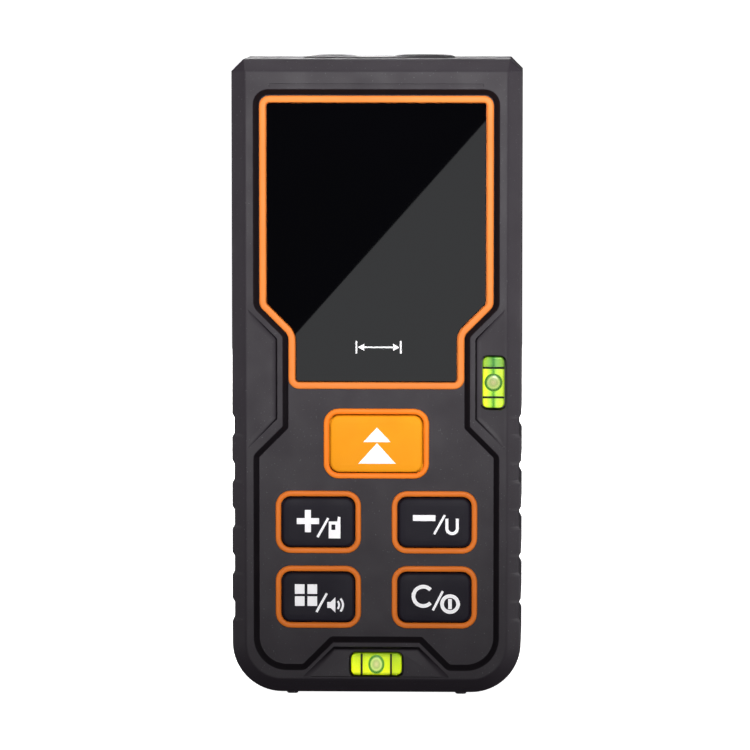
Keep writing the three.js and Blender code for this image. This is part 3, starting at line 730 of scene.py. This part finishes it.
def front_cover():
    """The front half with its sunk face, the openings in it and the front pair of feet."""
    skin = Skin()
    border, inner_floor = shell_half(skin, SEAM_FRONT, BEVEL_START + BEVEL_END, SHELL_FRONT)
    field_rim, field_floor = skin.stack(FIELD, FIELD_WALL)
    left_rim, right_rim = side_panel(skin, -1), side_panel(skin, 1)
    foot_rim, foot_vial = foot_panel(skin)
    skin.fill(border, field_rim, left_rim, right_rim, foot_rim, brow_strip(skin))
    holes = field_holes(skin)
    skin.fill(field_floor, *[front for front, _ in holes])
    bosses = [boss(skin, x, z, 2.0, SHELL_FRONT, SEAM_FRONT, -6.4) for x, z in SCREWS]
    skin.fill(inner_floor, foot_vial, *[back for _, back in holes], *bosses)
    shell = combine(skin.mesh("front_cover"), "UNION", *feet(-FOOT["y"]))
    x, z, width, height = front_box("vertical_vial_body")
    mouth = rounded_box(x, z, width + 0.62, height + 0.7, 1.2)
    vial_mouth = block(mouth, [(0.12, FRONT - 0.3), (0, FRONT + 0.5), (0, SHELL_FRONT + 0.5)])
    shell = combine(shell, "DIFFERENCE", nose_opening(), vial_mouth)
    piece("front_cover", shell, HOUSING, "housing", "housing_plastic", "front_cover")


def feet(y):
    """Two rounded pads that stand proud of the base."""
    run = [*ease((-0.3, 0), (0, 0.22), 4, False), (0, FOOT["height"] + 0.5)]
    shapes = [rounded_box(side * FOOT["x"], y, FOOT["width"], FOOT["length"], 0.6) for side in (-1, 1)]
    return [block(corners, run, upright) for corners in shapes]


def nose_corners(gap):
    """The measuring end's oblong seen from above, let out by gap."""
    half_w, half_d = NOSE["half"] + gap, NOSE["deep"] + gap
    signs = [(1, -1), (1, 1), (-1, 1), (-1, -1)]
    return [(sx * half_w, OPTICS_Y + sy * half_d, half_d - 0.02) for sx, sy in signs]


def nose_opening():
    return block(nose_corners(0.3), [(0, end) for end in NOSE["opening"]], upright)


def door_corners(gap=0.0):
    """The door seen from behind with its thumb tab at the top, let out by gap."""
    half, top = DOOR["half"] + gap, DOOR["top"] + gap
    return mirrored([
        (half, DOOR["bottom"] - gap, 2 + gap),
        (half, top, 2 + gap),
        (DOOR["tab"] + gap, top, 0.7),
        (DOOR["tab"] + gap, DOOR["tab_top"] + gap, 1.2 + gap),
    ])


def battery_bay(skin):
    """The ledge behind the door and the bay sunk from it. Returns the ledge's mouth and its back."""
    bay = rounded_box(0, BAY["z"], BAY["width"], BAY["height"], 0.5)
    bay_run = [(0.15, SHELL_BACK), (0, SHELL_BACK - 0.15), (0, BAY["floor"])]
    bay_rim, bay_floor = skin.stack(bay, bay_run)
    skin.fill(bay_floor)
    ledge_outline = mirrored([(15.9, 3.2, 1), (15.9, 61.1, 1), (7, 61.1, 0.5), (7, 64.5, 1)])
    ledge_back, ledge_front = skin.stack(ledge_outline, [(0, SHELL_BACK), (0, LEDGE_FRONT)])
    cup_rim, cup_end = skin.stack(bay, [(1.2, LEDGE_FRONT), (1.2, BAY["back"])])
    skin.fill(ledge_front, cup_rim)
    skin.fill(cup_end)
    return bay_rim, ledge_back


def rear_cover():
    """The rear half with the battery bay, the door's mouth, the screw wells and the rear pair of feet."""
    skin = Skin()
    turn = ease((0, BACK - REAR_ROUND), (REAR_ROUND, BACK), 10)
    back, inner_back = shell_half(skin, SEAM_REAR, turn, SHELL_BACK)
    mouth_run = [*ease((0.25, BACK), (0, BACK - 0.25), 3, False), (0, SHELL_BACK)]
    door_rim, ledge = skin.stack(door_corners(0.3), mouth_run)
    skin.fill(back, door_rim)
    bay_rim, ledge_back = battery_bay(skin)
    skin.fill(ledge, bay_rim)
    bosses = [boss(skin, x, z, 2.6, SHELL_BACK, SEAM_REAR, 9.5) for x, z in SCREWS]
    skin.fill(inner_back, ledge_back, *bosses)
    shell = combine(skin.mesh("rear_cover"), "UNION", *feet(FOOT["y"]))
    wells = [rod(x, z, [(2.3, 9.9), (2.3, 12.8), (2.7, 13.2), (2.7, 14)]) for x, z in SCREWS]
    slot = HOOK["slot_half"]
    slots = [box(x - slot, x + slot, 9.2, 11.3, 4.4, 10.2) for x in (-HOOK["x"], HOOK["x"])]
    shell = combine(shell, "DIFFERENCE", nose_opening(), *wells, *slots)
    piece("rear_cover", shell, HOUSING, "housing", "housing_plastic", "rear_cover")


def battery_door():
    """The door with its thumb tab, grip grooves and the two hooks that it turns on."""
    skin = Skin()
    run = [(-0.15, DOOR["front"]), (0, DOOR["front"] + 0.15), *ease((0, BACK - 0.4), (-0.4, BACK), 5)]
    inside, outside = skin.stack(door_corners(), run)
    grips = []
    for k in range(GRIPS["count"]):
        length = GRIPS["longest"] - GRIPS["shorter"] * k
        groove = rounded_box(0, GRIPS["first"] + GRIPS["pitch"] * k, length, GRIPS["height"], 0.44)
        dip = [(0.08, BACK), (0, BACK - 0.08), (0, BACK - 0.3), (-0.15, BACK - 0.4)]
        rim, floor = skin.stack(groove, dip)
        skin.fill(floor)
        grips.append(rim)
    skin.fill(outside, *grips)
    skin.fill(inside)
    profile = [(9.7, 4.9), (10.9, 4.9), (10.9, 6.5), (11.8, 6.5), (11.8, 7.4), (9.7, 7.4)]
    hooks = []
    for x in (-HOOK["x"], HOOK["x"]):
        low, high = x - HOOK["half"], x + HOOK["half"]
        edges = [(-0.1, low), (0, low + 0.1), (0, high - 0.1), (-0.1, high)]
        hooks.append(block([(y, z, 0.12) for y, z in profile], edges, sideways))
    panel = combine(skin.mesh("battery_door"), "UNION", *hooks)
    piece("battery_door", panel, HOUSING, "battery_door", "housing_plastic", "battery_door")


def nose_cap():
    """The measuring end: a cap with a ramped rim round each optical opening."""
    skin = Skin(upright)
    low, top = NOSE["low"], TOP + 0.2
    sides = [(-0.2, low), (0, low + 0.2), *ease((0, top - 0.2), (-0.2, top), 3)]
    bottom, deck = skin.stack(nose_corners(0), sides)
    rims, ends = [], []
    for opening in (LASER, RECEIVER):
        bore, foot, crown = opening["bore"], opening["foot"], top + 0.25
        ramp = [(foot, top), ((foot + bore) / 2 + 0.25, top + 0.13), (bore + 0.45, crown)]
        lip = [(bore + 0.25, crown), (bore + 0.06, crown - 0.05), (bore, crown - 0.2), (bore, low)]
        rim, end = skin.tube(opening["x"], OPTICS_Y, ramp + lip, 48)
        rims.append(rim)
        ends.append(end)
    skin.fill(deck, *rims)
    skin.fill(bottom, *ends)
    piece("nose_cap", skin.mesh("nose_cap"), HOUSING_SMOOTH, "housing", "housing_plastic", "nose_cap")


def optics_glass():
    """The laser's exit window and the domed receiving lens."""
    flat_run = [(2.3, 110.8), (2.4, 110.9), (2.4, 111.7), (2.3, 111.8)]
    window = rod(LASER["x"], OPTICS_Y, flat_run, upright, 40)
    piece("emitter_window", window, GLASS, "housing", "clear_glass", "emitter_window")
    low, high = span("receiver_lens")
    radius = (high.x - low.x) / 2
    rise, steps = 0.85, 12
    turns = [math.pi / 2 * k / steps for k in range(steps)]
    dome = [(radius * math.cos(a), high.z - rise + rise * math.sin(a)) for a in turns]
    lens = rod(RECEIVER["x"], OPTICS_Y, [(radius, low.z), *dome, (0.05, high.z)], upright, 48)
    piece("receiver_lens", lens, GLASS, "housing", "clear_glass", "receiver_lens")


def screws():
    """Pan-head screws with a cross recess."""
    shank, wide, turned = 0.8, 2.0, 0.4
    for number, (x, z) in enumerate(SCREWS, 1):
        name = f"housing_screw_{number}"
        low, high = span(name)
        head = high.y - 1.4
        run = [(0.05, low.y), (shank, low.y + 0.9), (shank, head), (wide - 0.1, head), (wide, head + 0.1)]
        run += ease((wide, head + 0.5), (0.9, high.y), 6)[1:]
        bars = []
        for turn in (turned, turned + math.pi / 2):
            along = Vector((math.cos(turn), math.sin(turn)))
            across = Vector((-along.y, along.x))
            corners = [along * 1.25 - across * 0.22, along * 1.25 + across * 0.22]
            corners += [-corner for corner in corners]
            shape = [(x + corner.x, z + corner.y, 0) for corner in corners]
            bars.append(block(shape, [(-0.12, high.y - 0.75), (0.06, high.y + 0.2)]))
        body = combine(rod(x, z, run, facing, 40), "DIFFERENCE", *bars)
        piece(name, body, STEEL, "housing", "screw_steel", name)


# ---- window ------------------------------------------------------------------------------------

def window():
    """The coloured frame, the dark window in it and the mark printed on the window."""
    skin = Skin()
    face, inside = BEZEL_LOW.y, -BEZEL["width"]
    run = [(0, BEZEL["sill"]), *ease((0, BEZEL["bend"]), (-0.34, face), 5)]
    run += ease((-0.9, face), (inside, face + 0.26), 5, False)
    run += [(inside, BEZEL["seat"]), (inside - 0.8, BEZEL["seat"]), (inside - 0.8, BEZEL_HIGH.y)]
    run += [(-0.45, BEZEL_HIGH.y), (-0.45, BEZEL["sill"])]
    first, last = skin.stack(WINDOW_OUTLINE, run)
    skin.wall(last, first)
    frame_mesh = skin.mesh("window_bezel")
    piece("window_bezel", frame_mesh, BEZEL_ORANGE, "housing", "orange_plastic", "window_bezel")
    low, high = span("window_lens")
    inset = inside - 0.12
    lens = block(WINDOW_OUTLINE, [(inset - 0.1, low.y), (inset, low.y + 0.1), (inset, high.y)])
    piece("window_lens", lens, WINDOW, "housing", "smoked_window", "window_lens")
    ink("window_lens_mark", distance_mark(0.4, 61.65), low.y, PRINT_WITH_PAINTED_GLOW, "housing", "white_plastic")


# ---- legends -----------------------------------------------------------------------------------

def stroke(points, width):
    """The closed outline of a line of this width along points, with square ends."""
    left, right = [], []
    for k, point in enumerate(points):
        before = points[max(k - 1, 0)]
        after = points[min(k + 1, len(points) - 1)]
        along = (Vector(after) - Vector(before)).normalized()
        out = Vector((along.y, -along.x)) * (width / 2)
        right.append(Vector(point) + out)
        left.append(Vector(point) - out)
    return [right + left[::-1]]


def arc(x, z, radius, start, end, count=20):
    turns = [math.radians(start + (end - start) * k / count) for k in range(count + 1)]
    return [(x + radius * math.cos(a), z + radius * math.sin(a)) for a in turns]


def shape(*loops):
    """A printed shape: an outer loop of points, then its holes."""
    return [[Vector(point) for point in loop] for loop in loops]


def bar(x0, x1, z0, z1):
    return shape([(x1, z0), (x1, z1), (x0, z1), (x0, z0)])


def slash(start, end):
    return stroke([start, end], 0.42)


def shifted(shapes, x, z):
    return [[[Vector((p[0] + x, p[1] + z)) for p in loop] for loop in shape] for shape in shapes]


def ink(name, shapes, front, material, body, slot):
    """Printed shapes, each an outer loop with optional holes, standing a hair proud of the face at front."""
    skin = Skin()
    for shape in shapes:
        fronts = [skin.loop(loop, front - 0.03) for loop in shape]
        backs = [skin.loop(loop, front + 0.05) for loop in shape]
        for near, far in zip(fronts, backs):
            skin.wall(near, far)
        skin.fill(*fronts)
        skin.fill(*backs)
    piece(name, skin.mesh(name, 20), material, body, slot)


def distance_mark(x, z):
    """A double-headed arrow between two end bars."""
    half, tall, thin = 3.9, 1.1, 0.14
    shapes = [bar(end - thin, end + thin, -tall, tall) for end in (-half, half)]
    shapes.append(bar(-half + 1.2, half - 1.2, -0.13, 0.13))
    for side in (-1, 1):
        tip, root = side * (half - 0.25), side * (half - 1.35)
        shapes.append(shape([(tip, 0), (root, 0.62), (root, -0.62)]))
    return shifted(shapes, x, z)


def measure_mark():
    """Two stacked triangles that point to the measuring end."""
    middle = 0.14
    return [
        shape([(middle - 2.42, 0.23), (middle + 2.42, 0.23), (middle, 2.79)]),
        shape([(middle - 3.3, -3.58), (middle + 3.3, -3.58), (middle, 0.05)]),
    ]


def plus_mark():
    """A plus sign, a slash, and a small device with its aerial."""
    arm, half, x = 0.53, 1.97, -1.79
    cross = [(half, arm), (arm, arm), (arm, half), (-arm, half), (-arm, arm), (-half, arm)]
    cross += [(-u, -v) for u, v in cross]
    device = [(3.95, -3.05), (3.95, 0.7), (3.5, 0.83), (3.4, -0.05), (1.87, -0.05), (1.87, -3.05)]
    screen = bar(2.35, 3.05, -1.55, -0.6)[0]
    return [
        shape([(u + x, v) for u, v in cross]),
        slash((-0.1, -2.85), (1.8, 0.55)),
        shape(device, screen),
    ]


def minus_mark():
    """A minus sign, a slash, and an open cup for the unit."""
    cup = [(2.2, 0.53), (2.2, -1.1), *arc(3.12, -1.2, 0.92, 180, 360, 16), (4.04, -1.1), (4.04, 0.53)]
    return [bar(-3.77, 0.18, 0.1, 1.15), slash((-0.05, -2.25), (1.85, 1.15)), stroke(cup, 0.54)]


def mode_mark():
    """Four squares, a slash, and a loudspeaker."""
    size = 1.7
    squares = [bar(x, x + size, z, z + size) for x in (-4.1, -1.88) for z in (0.38, -1.76)]
    horn = shape([(1.6, -2.1), (2.2, -2.1), (3.05, -2.95), (3.05, -0.2), (2.2, -1.05), (1.6, -1.05)])
    near_wave = stroke(arc(2.7, -1.58, 1.0, -42, 42, 10), 0.34)
    far_wave = stroke(arc(2.7, -1.58, 1.68, -42, 42, 14), 0.36)
    return [*squares, slash((-0.3, -2.85), (1.55, 0.5)), horn, near_wave, far_wave]


def clear_mark():
    """An open ring for clear, a slash, and the on-off sign."""
    ring = shape(*[arc(2.78, -1.32, radius, 0, 354, 40) for radius in (1.74, 1.1)])
    opening = stroke(arc(-1.95, 0.03, 1.72, 42, 318, 36), 0.66)
    return [opening, slash((-0.25, -2.45), (1.5, 0.95)), ring, bar(2.45, 3.1, -2.22, -0.42)]


MARKS = {
    "measure": measure_mark, "plus": plus_mark, "minus": minus_mark, "mode": mode_mark, "clear": clear_mark,
}


# ---- keys --------------------------------------------------------------------------------------

def key(name):
    """A crowned key with the flange that holds it in, its stem and its printed legend."""
    full = f"{name}_key"
    x, z, width, height = front_box(f"{name}_key_ring")
    low, high = span(full)
    inset = 2 * (RING["width"] + KEY["gap"])
    corners = rounded_box(x, z, width - inset, height - inset, KEY["radius"])
    front, flange = low.y, KEY["flange_back"]
    crown = [(-1.3, front), (-0.9, front + 0.02)]
    edge = ease((-0.5, front + 0.07), (0, front + 0.5), 6, False)
    shoulder = [(0, KEY["flange_front"]), (1, KEY["flange_front"]), (1, flange)]
    skin = Skin()
    face, flange_rim = skin.stack(corners, crown + edge + shoulder)
    stem_rim, stem_end = skin.tube(x, z, [(KEY["stem"], flange), (KEY["stem"], high.y)], 24)
    skin.fill(face)
    skin.fill(flange_rim, stem_rim)
    skin.fill(stem_end)
    main = name == "measure"
    finish, slot = (KEY_ORANGE, "orange_key") if main else (KEY_BLACK, "black_key")
    piece(full, skin.mesh(full), finish, full, slot, full)
    mark = shifted(MARKS[name](), x, z + (0.13 if main else 0.25))
    ink(f"{full}_legend", mark, front, PRINT_WITH_PAINTED_GLOW, full, "white_plastic")


def key_ring(name):
    """The coloured surround of a key, open in the middle."""
    full = f"{name}_key_ring"
    x, z, width, height = front_box(full)
    low, high = span(full)
    crest, edge, inside = low.y, low.y + 0.3, -RING["width"]
    run = [(0, high.y), *ease((0, edge), (-0.28, crest), 4), *ease((-0.58, crest), (inside, edge), 4, False)]
    run.append((inside, high.y))
    skin = Skin()
    first, last = skin.stack(rounded_box(x, z, width, height, RING["radius"]), run)
    skin.wall(last, first)
    finish, slot = (MEASURE_RING, "orange_plastic") if name == "measure" else (RING_ORANGE, "ring_plastic")
    piece(full, skin.mesh(full), finish, "housing", slot, full)


# ---- bubble levels -----------------------------------------------------------------------------

# Painted light and shade across each tube, laid over the liquid's own yellow-green.
LIQUID_PAINTED_STRIPES = {
    "vertical": [
        (0.0, (0.07, 0.17, 0.01)), (0.1, (0.56, 0.62, 0.012)), (0.34, (0.3, 0.5, 0.03)),
        (0.5, (0.04, 0.2, 0.012)), (0.64, (0.34, 0.54, 0.05)), (0.88, (0.36, 0.48, 0.02)),
        (1.0, (0.07, 0.14, 0.01)),
    ],
    "horizontal": [
        (0.0, (0.19, 0.29, 0.004)), (0.14, (0.7, 0.76, 0.003)), (0.5, (0.57, 0.68, 0.003)),
        (0.8, (0.46, 0.58, 0.006)), (1.0, (0.14, 0.25, 0.008)),
    ],
}
DIM_END = {
    "vertical": {"from_middle": 2.4, "tint": (0.36, 0.52, 1.2)},
    "horizontal": {"from_middle": 2.6, "tint": (0.72, 0.82, 1.2)},
}
# The bubble's painted light and shade, and how brightly it is painted in each level.
BUBBLE_PAINTED_LIGHT_GAIN = {"vertical": 0.75, "horizontal": 1.4}
BUBBLE_PAINTED_LIGHT = [
    (0.0, (0.4, 0.36, 0.18)), (0.4, (0.24, 0.3, 0.1)), (0.62, (0.36, 0.44, 0.13)),
    (0.76, (0.07, 0.2, 0.02)), (0.88, (0.02, 0.11, 0.006)), (1.0, (0.14, 0.32, 0.03)),
]


def level_liquid(name, x, z, turned):
    """Bright liquid seen through its block: its own colour with painted light and shade in lengthwise bands
    across the tube, where its wall bends the light, darker and greener past a point along its length, and a
    faint painted glow.
    """
    finish = Finish(f"level_liquid_{name}", (0.6, 0.85, 0.02), 0.3, Specular_IOR_Level=0.03)
    place = finish.axes(finish.place)
    across, along = (place["Z"], place["X"]) if turned else (place["X"], place["Z"])
    middle, centre = (z, x) if turned else (x, z)
    half, blend = 1.94, 0.4
    shade = finish.node("ShaderNodeMix", data_type="RGBA", blend_type="MULTIPLY")
    shade.inputs["Factor"].default_value = 1
    share = finish.spread(across, (middle - half) * MM, (middle + half) * MM)
    finish.link(finish.bands(share, LIQUID_PAINTED_STRIPES[name]), shade.inputs["A"])
    start = centre + DIM_END[name]["from_middle"]
    step = finish.spread(along, start * MM, (start + blend) * MM)
    finish.link(finish.bands(step, [(0, WHITEST), (1, DIM_END[name]["tint"])]), shade.inputs["B"])
    finish.paint(shade.outputs["Result"])
    finish.painted_glow(0.12)
    return finish.grain(0.8, 0.02).material


def bubble_air(name, x, z, half_w, half_h):
    """The bubble in painted light and shade: pale in the middle and dark green round its edge, with a faint
    painted glow.
    """
    finish = Finish(f"bubble_air_{name}", (0.4, 0.5, 0.15), 0.2, Specular_IOR_Level=0.1)
    shift = finish.node("ShaderNodeVectorMath", operation="SUBTRACT")
    shift.inputs[1].default_value = (x * MM, BUBBLE_Y * MM, z * MM)
    finish.link(finish.place, shift.inputs[0])
    unit = finish.node("ShaderNodeVectorMath", operation="MULTIPLY")
    unit.inputs[1].default_value = (1 / (half_w * MM), 0, 1 / (half_h * MM))
    finish.link(shift.outputs["Vector"], unit.inputs[0])
    size = finish.node("ShaderNodeVectorMath", operation="LENGTH")
    finish.link(unit.outputs["Vector"], size.inputs[0])
    stops = [(place, [k * BUBBLE_PAINTED_LIGHT_GAIN[name] for k in colour]) for place, colour in BUBBLE_PAINTED_LIGHT]
    finish.paint(finish.bands(size.outputs["Value"], stops))
    finish.painted_glow(0.1)
    return finish.grain(0.6, 0.01).material


def bubble(name, x, z, half_w, half_l, turned, place):
    """A flat oval of air just under the clear block's face."""
    full = f"{name}_vial_bubble"
    skin = Skin(place)
    steps = 12
    loops = []
    for k in range(steps + 1):
        angle = math.pi * k / steps - math.pi / 2
        size = max(math.cos(angle), 0.02)
        ring = [Vector((p[0] * half_w, p[1] * half_l)) for p in circle(0, 0, size, 40)]
        loops.append(skin.loop(ring, BUBBLE_Y + 0.2 * math.sin(angle)))
    look = bubble_air(name, x, z, *((half_l, half_w) if turned else (half_w, half_l)))
    piece(full, skin.solid(skin.join(loops), full), look, f"{name}_bubble", "bubble_air", full)


def level(name, turned):
    """A level: clear block, liquid, bubble and two black lines. Turned, it lies along X instead of Z."""
    body = f"{name}_vial_body"
    x, z, width, height = front_box(body)
    low, high = span(body)
    front, back = low.y, high.y

    def place(u, v, depth):
        return (x + v, depth, z - u) if turned else (x + u, depth, z + v)

    across, along = (height, width) if turned else (width, height)
    run = [*ease((-0.25, front), (0, front + 0.25), 4, False), (0, back - 0.1), (-0.1, back)]
    shell = block(rounded_box(0, 0, across, along, 0.95), run, place)
    piece(body, shell, ACRYLIC, "housing", "clear_acrylic", body)
    core = rounded_box(0, 0, across - 0.16, along - 0.16, 0.9)
    liquid = block(core, [(0, back - 0.3), *ease((0, LIQUID_FRONT), (-0.16, LIQUID_FRONT - 0.14), 4)], place)
    fluid = f"{name}_vial_fluid"
    piece(fluid, liquid, level_liquid(name, x, z, turned), "housing", "level_liquid", fluid)
    bubble(name, x, z, *((1.72, 1.44) if turned else (1.6, 1.6)), turned, place)
    lines = Skin(place)
    for side in (-1, 1):
        band = rounded_box(0, side * LEVEL_LINES["from_middle"], across - 0.1, LEVEL_LINES["width"], 0.1)
        for end in lines.stack(band, [(0, front + LEVEL_LINES["front"]), (0, front + LEVEL_LINES["back"])]):
            lines.fill(end)
    piece(f"{name}_vial_lines", lines.mesh("lines"), LEVEL_PRINT, "housing", "black_plastic")


# ---- battery bay -------------------------------------------------------------------------------

def battery_cells():
    """Two cells: a sleeve, the disc and button of the positive end, and a band round the other end."""
    for side, sign in [("left", 1), ("right", -1)]:
        node = f"battery_cell_{side}"
        low, high = span(node)
        x, y = (low.x + high.x) / 2, (low.y + high.y) / 2
        radius = (high.x - low.x) / 2
        start, end = (low.z, high.z) if sign > 0 else (high.z, low.z)
        wrap_end = end - sign * 1.2

        def past(origin, run):
            """Heights of run counted from origin towards the positive end."""
            return [(wide, origin + sign * rise) for wide, rise in run]

        sleeve = past(start, [(radius - 0.6, 0), (radius - 0.15, 0.05), (radius, 0.3)])
        sleeve += past(wrap_end, [(radius, -0.3), (radius - 0.15, -0.05), (radius - 0.7, 0)])
        piece(node, rod(x, y, sleeve, upright, 48), CELL_WRAP, "housing", "cell_wrap", node)
        button = past(wrap_end, [(3.6, -0.12), (3.6, 0.04), (2.1, 0.06), (1.95, 0.15)])
        button += past(end, [(1.95, -0.25), (1.7, 0)])
        piece(f"{node}_button", rod(x, y, button, upright, 40), CELL_STEEL, "housing", "plated_steel")
        outside, inside = radius + 0.012, radius - 0.05
        band = past(start, [(outside, 6), (outside, 7.2), (inside, 7.2), (inside, 6)])
        stripe = Skin(upright)
        first, last = stripe.tube(x, y, band, 48)
        stripe.wall(last, first)
        piece(f"{node}_band", stripe.mesh("band"), PRINT_WITH_PAINTED_GLOW, "housing", "cell_wrap")


def coiled_wire(name, x, y, base, sign):
    """A cone of round wire that narrows as it rises from base, as a mesh."""
    turns, count, wire_radius = 3.2, 90, 0.22
    curve = bpy.data.curves.new(name, "CURVE")
    curve.dimensions = "3D"
    curve.bevel_depth = wire_radius * MM
    curve.bevel_resolution = 3
    curve.use_fill_caps = True
    wire = curve.splines.new("POLY")
    wire.points.add(count - 1)
    for k, point in enumerate(wire.points):
        t = k / (count - 1)
        angle, radius = sign * t * turns * 2 * math.pi, 2.9 - 1.5 * t
        height = base + sign * (0.55 + 1.5 * t)
        point.co = ((x + radius * math.cos(angle)) * MM, (y + radius * math.sin(angle)) * MM, height * MM, 1)
    temporary = add("wire", curve)
    graph = bpy.context.evaluated_depsgraph_get()
    coil = bpy.data.meshes.new_from_object(temporary.evaluated_get(graph))
    bpy.data.objects.remove(temporary)
    return coil


def contact_springs():
    """Conical wire springs on their plates."""
    for place, sign in [("lower", 1), ("upper", -1)]:
        node = f"contact_spring_{place}"
        low, high = span(node)
        x, y = (low.x + high.x) / 2, (low.y + high.y) / 2
        base = low.z if sign > 0 else high.z
        coil = coiled_wire(node, x, y, base, sign)
        bottom, top = sorted([base, base + sign * 0.35])
        plate_run = [(-0.05, bottom), (0, bottom + 0.06), (0, top)]
        work = bmesh.new()
        work.from_mesh(coil)
        work.from_mesh(block(rounded_box(x, y, 7.8, 7.8, 0.6), plate_run, upright))
        work.to_mesh(coil)
        work.free()
        for polygon in coil.polygons:
            polygon.use_smooth = True
        piece(node, coil, PLATED, "housing", "plated_steel", node)


# ---- CAD nodes that keep their shape -----------------------------------------------------------

KEPT = {
    "keypad_mat": SILICONE, "lcd_panel": WINDOW, "lcd_backlight": WHITE, "display_flex": FLEX,
    "main_board": CIRCUIT, "sensor_board": CIRCUIT, "processor_chip": BLACK, "buzzer": BLACK,
    "shield_can": PLATED, "optics_chassis": BLACK, "laser_module": BRASS, "collimator_lens": GLASS,
    "photodiode": PLATED, "contact_plate_lower": PLATED, "contact_plate_upper": PLATED,
    **{f"{name}_switch": BLACK for name in KEY_NAMES},
    **{f"{name}_vial_{part}": BLACK for name in ("vertical", "horizontal") for part in ("plug", "retainer")},
}


def dress_kept_nodes():
    """Gives each CAD node that is shown as it is a worked finish and eased edges."""
    for name, finish in KEPT.items():
        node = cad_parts[name]
        node.data.materials.clear()
        node.data.materials.append(finish)
        ease_edges = node.modifiers.new("eased", "BEVEL")
        ease_edges.width = 0.08 * MM
        ease_edges.segments = 2
        ease_edges.limit_method = "ANGLE"
        ease_edges.angle_limit = math.radians(40)


# ---- stage, light and camera -------------------------------------------------------------------

def stage():
    """A round pale floor that sweeps up into a backdrop on every side."""
    middle, floor, bend, height = 300, 1300, 300, 3000
    turns = [math.pi / 2 * k / 16 for k in range(17)]
    rise = [(floor + bend * math.sin(a), bend - bend * math.cos(a)) for a in turns]
    skin = Skin(upright)
    disc, _ = skin.tube(0, 0, [(middle, 0), *rise, (floor + bend, height)], 96)
    skin.fill(disc)
    finish = Finish("sweep", (0.8, 0.8, 0.8), 0.8, Emission_Color=(1, 1, 1, 1), Emission_Strength=1.0)
    sweep = add("sweep", skin.mesh("sweep"), finish.mottle(400, 0.01).material)
    sweep.visible_diffuse = False
    sweep.visible_glossy = False


def aimed(name, data, place, aim):
    """Adds a light at place, turned to shine at aim."""
    shown = add(name, data)
    shown.location = Vector(place) * MM
    shown.rotation_euler = (Vector(aim) - Vector(place)).to_track_quat("-Z", "Y").to_euler()
    return shown


def lamp(name, place, aim, size, power):
    """A soft box of this width and height."""
    data = bpy.data.lights.new(name, "AREA")
    data.shape = "RECTANGLE"
    data.size, data.size_y = size[0] * MM, size[1] * MM
    data.energy = power
    light = aimed(name, data, place, aim)
    light.visible_camera = False
    return light


def beam(name, place, aim, power):
    """A soft-edged spot in front, aimed at the top of the body so that the light falls off down it."""
    data = bpy.data.lights.new(name, "SPOT")
    data.energy = power
    data.spot_size = math.radians(25.8)
    data.spot_blend = 1
    data.shadow_soft_size = 45 * MM
    aimed(name, data, place, aim)


def reflected(x, z, card_y):
    """Where the eye's line to (x, z) on the window goes on, mirrored, to the plane at card_y."""
    glass_y = span("window_lens")[0].y
    eye = EYE.copy()
    eye.y = 2 * glass_y - eye.y
    along = Vector((x, glass_y, z)) - eye
    return eye + along * ((card_y - eye.y) / along.y)


def window_card():
    """A white card that the lower right of the window mirrors."""
    card_y = -420
    high, low = reflected(19.3, 101.6, card_y), reflected(-14.2, 63.9, card_y)
    run, drop = high - low, Vector((110, 0, -100))
    start, end = low - run, high + run * 0.6
    data = bpy.data.meshes.new("window_card")
    data.from_pydata([point * MM for point in (start, start + drop, end + drop, end)], [], [(0, 1, 2, 3)])
    white = (0.96, 0.98, 1, 1)
    finish = Finish("card", (0.02, 0.02, 0.02), 0.8, Emission_Color=white, Emission_Strength=1.03)
    card = add("window_card", data, finish.mottle(60, 0.05).material)
    card.visible_camera = False
    card.visible_diffuse = False
    card.visible_shadow = False


def light_scene():
    """A dim studio world, the main beam from in front, and soft boxes round the object."""
    world = bpy.data.worlds.new("studio")
    world.use_nodes = True
    world.node_tree.nodes["Background"].inputs["Color"].default_value = (0.93, 0.93, 1, 1)
    world.node_tree.nodes["Background"].inputs["Strength"].default_value = 0.05
    bpy.context.scene.world = world
    beam("key", (60, -800, 200), (6, -13, 148), 36)
    lamp("front_fill", (0, -700, 40), (0, -13, 40), (300, 200), 0.4).visible_glossy = False
    lamp("right", (430, 40, 45), (10, -10, 50), (150, 200), 1.3)
    lamp("left", (-430, 40, 45), (-10, -10, 50), (150, 200), 0.5)
    lamp("top", (0, 60, 500), (0, 0, 100), (200, 200), 0.8)
    lamp("back", (-120, 700, 170), (0, 13, 56), (300, 300), 3.2)


def camera():
    """Eye level a little over the middle of the body, at a long focal length."""
    data = bpy.data.cameras.new("camera")
    data.sensor_width = 36
    data.lens = 242.3
    data.clip_end = 10
    eye = add("camera", data)
    eye.location = EYE * MM
    eye.rotation_euler = (math.pi / 2 - ELEVATION, 0, AZIMUTH)
    bpy.context.scene.camera = eye
    bpy.context.scene.view_settings.view_transform = "Standard"


front_cover()
rear_cover()
battery_door()
nose_cap()
optics_glass()
screws()
window()
for key_name in KEY_NAMES:
    key_ring(key_name)
    key(key_name)
level("vertical", False)
level("horizontal", True)
battery_cells()
contact_springs()
dress_kept_nodes()
stage()
window_card()
light_scene()
camera()
